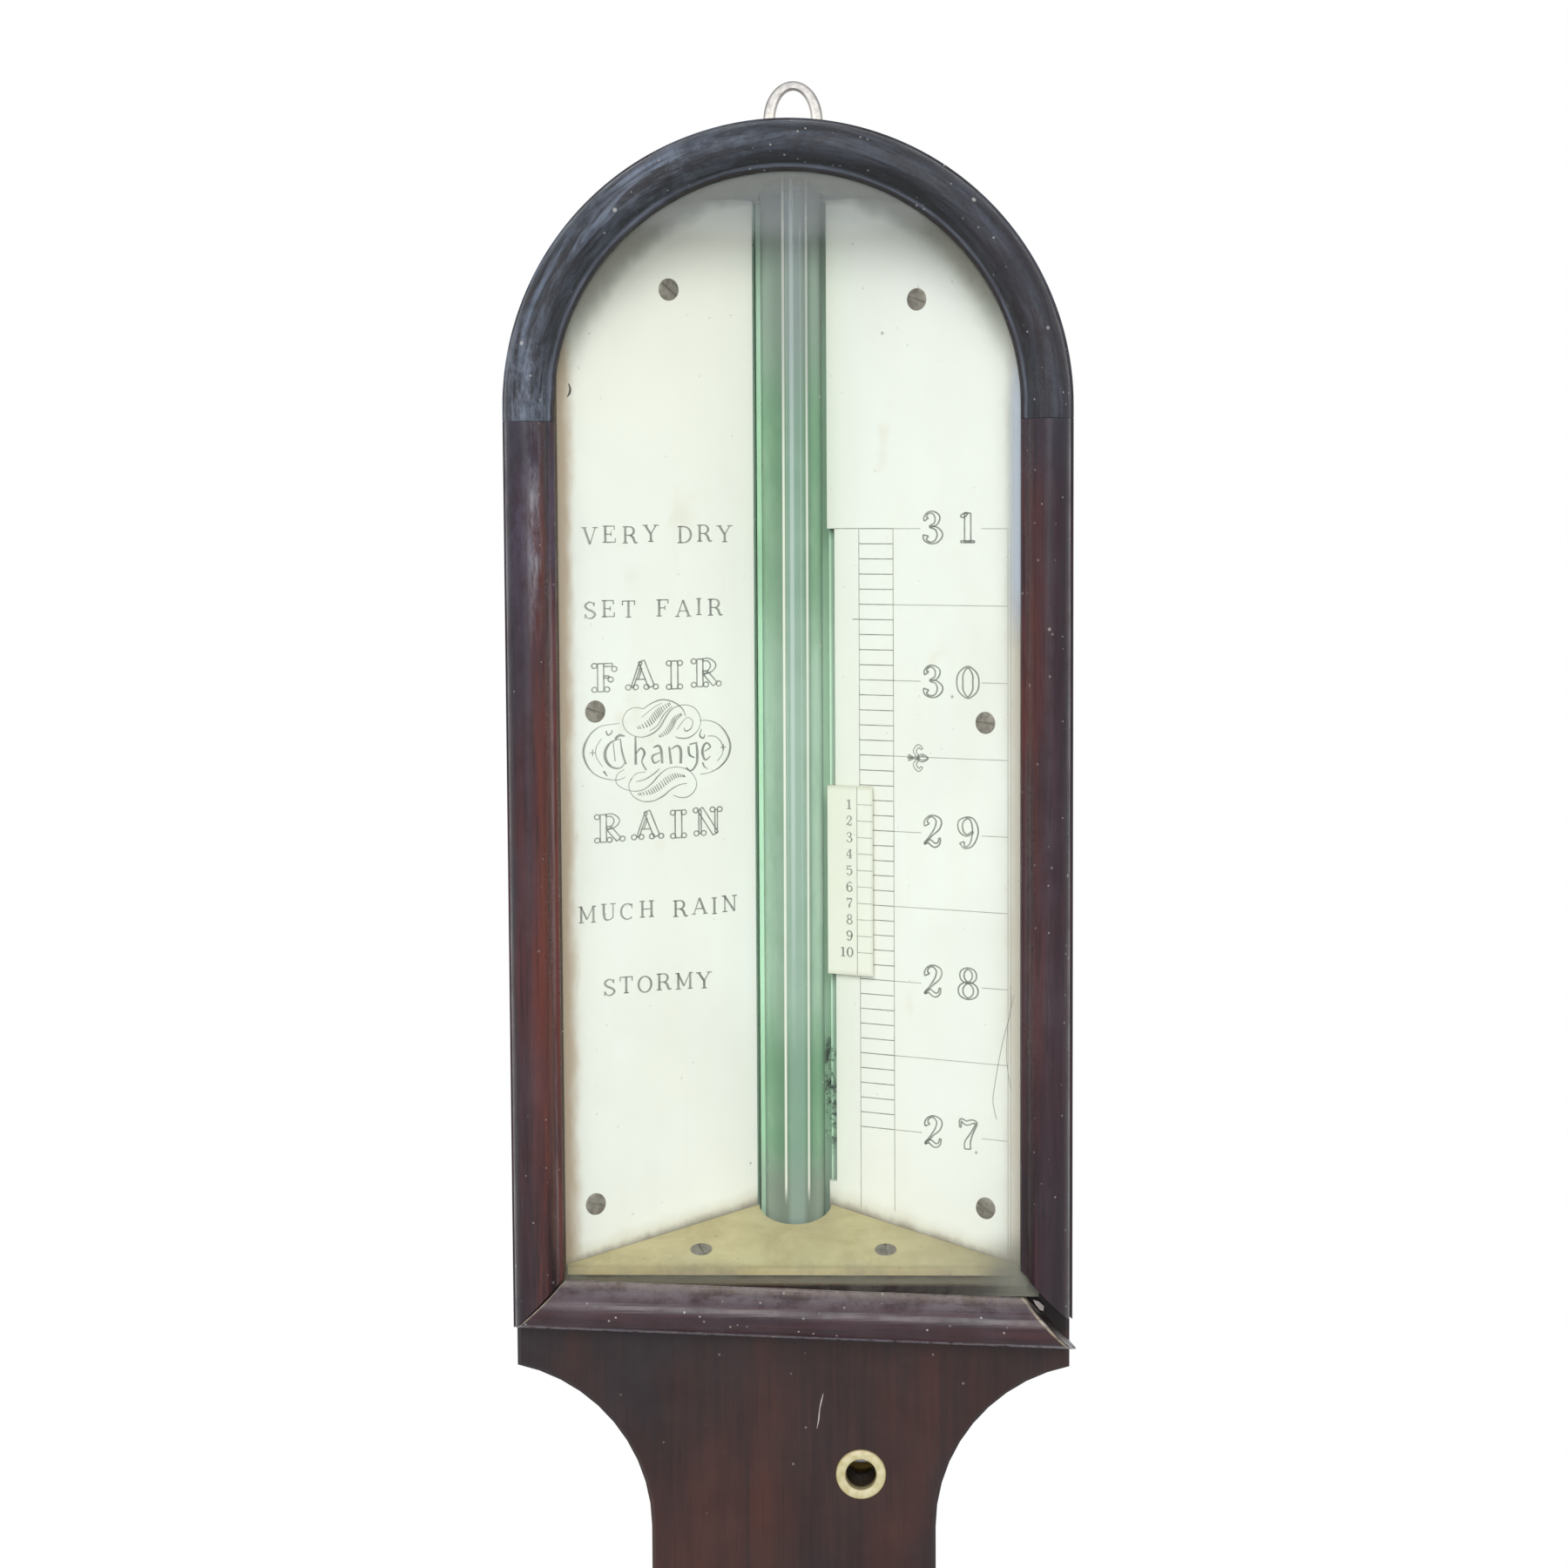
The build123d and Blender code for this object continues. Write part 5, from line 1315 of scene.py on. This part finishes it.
# Painted highlights: fine pale lines down the tube.
fine_highlight_lines = calc("MAXIMUM", stripe(0.0, 0.45, 0.4), stripe(-0.9, 0.12, 0.2))
fine_highlight_lines = calc("MAXIMUM", fine_highlight_lines, stripe(1.5, 0.12, 0.2)) * ramp(z, -172 * mm, -120 * mm)
body = laid_over(body, fine_highlight_lines, mix(shaded_grey_top, "d3dedf", "c3cbd0"))
# Painted refraction: darker lines near the right edge, low down.
dark_refraction_lines = stripe(2.95, 0.25, 0.35) * low_end
body = laid_over(body, dark_refraction_lines, paint("5b7767"))
# Painted highlights: two bright pale lines, where the bore's edges catch the light.
pale_highlight_lines = calc("MAXIMUM", stripe(-1.4, 0.28, 0.78), stripe(2.5, 0.25, 0.7)) * low_end
body = laid_over(body, pale_highlight_lines, mix(shaded_grey_top, "f4f4e8", "c9cac6"))
gloss = add_node("BsdfGlossy", Color=(0.95, 0.98, 1, 1), Roughness=0.1)
mirror_share = fresnel(1.3) * in_front * 0.12
skin = add_node("MixShader", i0=mirror_share, i1=body, i2=gloss.outputs[0])
add_node("OutputMaterial", Surface=skin.outputs[0])
finish_piece(tube, tube_glass, "case", "tube_glass", "glass_tube")


# The cistern under the cover, out of sight: a turned boxwood barrel with a lid and a
# cup, sealed round the tube with leather and closed below by a soft leather bag.
def turned_wood(name, dark, light, scale=420):
    made, shader = new_finish(name, 0.5)
    rings = noise(spot_on((1, 1, 0.08)), scale, 6, 0.6, 0.5)
    feed(shader, "Base Color", mix(ramp(rings, 0.3, 0.7), dark, light))
    relief(shader, rings, 0.00005)
    return made


boxwood = turned_wood("boxwood", "b08a4c", "d0ac6c")
dress(boxwood, "cistern_body", "cistern_lid", "cistern_base", "pressure_pad")

leather, shader = new_finish("bag_leather", 0.8)
pores = add_node("TexVoronoi", Vector=spot_on(), Scale=900).outputs["Distance"]
feed(shader, "Base Color", mix(noise(spot_on(), 200), "8a6a45", "b3946a"))
relief(shader, pores, 0.0002)
dress(leather, "tube_seal")

quicksilver = metal("mercury", "b9babd", "d5d6d9", 0.12, 1.0, 200, 0.00001)


def rises_with_pad(name, node, finish):
    """A copy of a solid with its own finish, standing in its place; the solid is hidden."""
    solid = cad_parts[node]
    bpy.ops.object.select_all(action="DESELECT")
    bpy.ops.object.add(type="MESH", location=(0, 0, 0))
    piece = bpy.context.object
    piece.name = name
    piece.data = solid.data.copy()
    piece.data.transform(solid.matrix_world)
    piece.data.materials.clear()
    piece.data.materials.append(finish)
    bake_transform(piece)
    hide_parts(node)
    return piece


soft_bag = rises_with_pad("soft_bag", "leather_bag", leather)
rises_with_pad("quicksilver", "mercury", quicksilver)


# The closing screw under the base: a steel screw through a brass bush, with a brass knob
# whose waist is filed in flutes for the fingers. It squeezes the bag before a journey.
dress(bright_steel, "portable_screw")
knob_brass = metal("knob_brass", "9a7f3c", "c9ab60", 0.3, 0.9, 300)
knob = turned("knob_smooth", [(0, -944.2), (5.0, -944.2), (5.8, -943.9), (8.7, -941.8),
                              (9.0, -941.2), (9.0, -936.2), (8.7, -935.6), (6.0, -934.6),
                              (5.4, -934.2), (5.4, -933.2), (1.9, -933.2), (1.9, -939.6),
                              (0, -939.6)], at=tube_at, steps=96)
knob_flutes = 12
flute_from_middle = 9.25 * mm
cutter_set = []
for i in range(knob_flutes):
    turn = 2 * pi * i / knob_flutes
    cutter = begin(bpy.ops.mesh.primitive_cylinder_add, vertices=16, radius=0.8 * mm,
                   depth=5.5 * mm, location=(flute_from_middle * cos(turn),
                   flute_from_middle * sin(turn) - tube_depth, -938.7 * mm))
    cutter_set.append(cutter)
pick(*cutter_set)
bpy.ops.object.join()
carve(knob, bpy.context.object)
finish_piece(knob, knob_brass, "closing_screw", "knob_brass", "screw_knob")

screw_bush = turned("screw_bush_smooth", [(2.05, -925.9), (8.3, -925.9), (8.5, -925.7),
                                          (8.5, -924.7), (6.0, -924.7), (6.0, -914.7),
                                          (2.05, -914.7)], at=tube_at, steps=64)
finish_piece(screw_bush, knob_brass, "case", "knob_brass", "screw_bush")


# The cistern cover: a hollow dome turned in the same wood as the case, polished, with a
# small button at its crown, and screwed to the front of the base through its flange.
cover_at = (0, 0, -877.4 * mm)
dome_r = 24.0
crown = 16.5
profile = [(21.0, -38), (29, -38), (29, -40.6), (28.7, -41.2), (28.1, -41.5), (dome_r + 0.4, -41.5)]
for i in range(19):
    turn = radians(82 * i / 18)
    profile.append((dome_r * cos(turn), -41.8 - crown * sin(turn)))
profile += [(3.9, -58.3), (4.0, -58.8), (3.6, -59.6), (2.4, -59.95), (0, -60), (0, -55),
            (12.6, -55), (18, -49.5), (20.6, -43)]
cover_piece = turned("cover_smooth", profile, axis=(0, 1, 0), at=cover_at, steps=96)
cover_wood = polished_wood("cover_wood", "2a1c1c", "402a27", "552f28", (1, 0.4, 0.1), 0.1)[0]
finish_piece(cover_piece, cover_wood, "case", "moulding_wood", "cistern_cover")


# The back: a plain strip let in and screwed over the tube's groove, and a steel hanging
# plate let into the head, whose oval eye stands above the case, silvery and worn.
strip_wood, shader = new_finish("strip_wood", 0.72)
saw = noise(spot_on((1, 1, 0.04)), 420, 7, 0.62, 0.5)
feed(shader, "Base Color", mix(ramp(saw, 0.3, 0.7), "513524", "7b5638"))
relief(shader, saw, 0.0001)
dress(strip_wood, "back_strip")

eye_metal, shader = new_finish("eye_metal", 0.42, 0.35)
x, y, z = axes()
scuffs = noise(spot_on(), 800, 6, 0.7)
colour = mix(ramp(scuffs, 0.3, 0.7), "94928f", "bab7b3")
rise = (z + 5.2 * mm) * (5.1 / 6.7)
from_eye = off_line(x, rise)
# Painted shade: darker round the eye's rounded outer edge.
colour = mix(ramp(from_eye, 4.4 * mm, 5.1 * mm, 0, 0.6), colour, "757576")
# Painted highlight: paler towards the hole.
colour = mix(ramp(from_eye, 4.2 * mm, 3.3 * mm, 0, 0.7), colour, "cfccc6")
colour = mix(ramp(z, -2 * mm, -6.5 * mm, 0, 0.5), colour, "d8d3c8")
feed(shader, "Base Color", colour)
relief(shader, scuffs, 0.00004)

eye_steps = 72
eye_middle = -5.2
eye_out = (5.1, 6.7)          # half the width and height of the eye, outside
eye_in = (3.1, 5.2)           # and inside
corners = []
for i in range(eye_steps):
    turn = 2 * pi * i / eye_steps
    corners.append((eye_out[0] * mm * cos(turn), 0, (eye_middle + eye_out[1] * sin(turn)) * mm))
plate = flat_piece("hanging_plate_smooth", corners)
bpy.ops.mesh.inset(thickness=1.75 * mm)
bpy.ops.mesh.select_all(action="SELECT")
bpy.ops.object.mode_set(mode="OBJECT")
for i, corner in enumerate(plate.data.vertices[eye_steps:]):
    out = corner.co + plate.location
    turn = atan2((out.z / mm - eye_middle) / eye_out[1], out.x / mm / eye_out[0])
    place = Vector((eye_in[0] * mm * cos(turn), 0, (eye_middle + eye_in[1] * sin(turn)) * mm))
    corner.co = place - plate.location
edit(plate)
bpy.ops.mesh.select_mode(type="FACE")
bpy.ops.mesh.select_all(action="DESELECT")
bpy.ops.object.mode_set(mode="OBJECT")
for flat in plate.data.polygons:
    flat.select = len(flat.vertices) > 4
bpy.ops.object.mode_set(mode="EDIT")
bpy.ops.mesh.delete(type="FACE")
bpy.ops.mesh.select_all(action="SELECT")
extrude(y=-2 * mm)
bpy.ops.mesh.select_mode(type="VERT")
close_up(plate)
soften(plate, 0.35 * mm, 3, 50)
neck = flat_piece("hanging_plate_body", [(-5.1 * mm, 0, -9.4 * mm), (-5.1 * mm, 0, -12.1 * mm),
                                         (-8 * mm, 0, -12.1 * mm), (-8 * mm, 0, -42.1 * mm)]
                  + [(-8 * mm * cos(pi * i / 16), 0, (-42.1 - 8 * sin(pi * i / 16)) * mm)
                     for i in range(1, 16)] + [(8 * mm, 0, -42.1 * mm), (8 * mm, 0, -12.1 * mm),
                     (5.1 * mm, 0, -12.1 * mm), (5.1 * mm, 0, -9.4 * mm),
                     (3.4 * mm, 0, -10.2 * mm), (0, 0, -11.2 * mm), (-3.4 * mm, 0, -10.2 * mm)])
extrude(y=-2 * mm)
close_up(neck)
soften(neck, 0.15 * mm, 2, 50)
pick(plate, neck)
bpy.ops.object.join()
plate = bpy.context.object
finish_piece(plate, eye_metal, "case", "eye_metal", "hanging_plate")


# Marks of age: a hair caught behind the glass, a speck of dirt on the left plate, a
# white scratch on the case and a chip of old filler in the open mitre.
hair_finish, shader = new_finish("hair_dark", 0.6)
tone = noise(spot_on(), 700, 3, 0.6)
feed(shader, "Base Color", mix(tone, "6d6a60", "a9a79a"))
hair = Pen()
hair.curve([(px * mm, pz * mm, 0.1 * mm) for px, pz in ((36.3, -150.5), (36.3, -154.6),
        (34.9, -160.6), (33.75, -167.2), (33.45, -170.2), (34.05, -173.1))])
hair.curve([(px * mm, pz * mm, 0.08 * mm) for px, pz in ((36.9, -152), (35.9, -157), (35.7, -163),
        (36.4, -168))])
hair.lay("caught_hair", on_plate(2 * cut_lift), hair_finish, "case")
dirt = Pen()
dirt.curve([(-36.0 * mm, -50.9 * mm, 0.15 * mm), (-35.75 * mm, -51.7 * mm, 0.3 * mm),
            (-35.85 * mm, -52.5 * mm, 0.35 * mm), (-36.25 * mm, -53.1 * mm, 0.1 * mm)])
chip = Pen()
chip.quad((39.9 * mm, -202.2 * mm), (40.9 * mm, -202.5 * mm), (41.7 * mm, -203.3 * mm),
          (41.6 * mm, -204.1 * mm), (41.0 * mm, -203.9 * mm), (40.3 * mm, -203.0 * mm))
dark_dirt, shader = new_finish("dark_dirt", 0.8)
feed(shader, "Base Color", mix(noise(spot_on(), 900), "2b241c", "4a4034"))
dirt.lay("dirt_speck", on_plate(2 * cut_lift), dark_dirt, "case")

pale_scratch, shader = new_finish("pale_scratch", 0.7)
feed(shader, "Base Color", mix(noise(spot_on(), 1500, 3, 0.7), "857a78", "c9c3bf"))
chip.lay("filler_chip", lambda px, pz: 39.3 * mm, pale_scratch, "case", "dark_case_wood")
scratch = Pen()
scratch.curve([(5.06 * mm, -218.5 * mm, 0.08 * mm), (4.75 * mm, -219.8 * mm, 0.2 * mm),
               (4.45 * mm, -221.2 * mm, 0.14 * mm), (4.3 * mm, -222.8 * mm, 0.2 * mm),
               (4.0 * mm, -224.4 * mm, 0.06 * mm)])
scratch.lay("case_scratch", lambda px, pz: 38 * mm + cut_lift, pale_scratch, "case",
            "dark_case_wood")
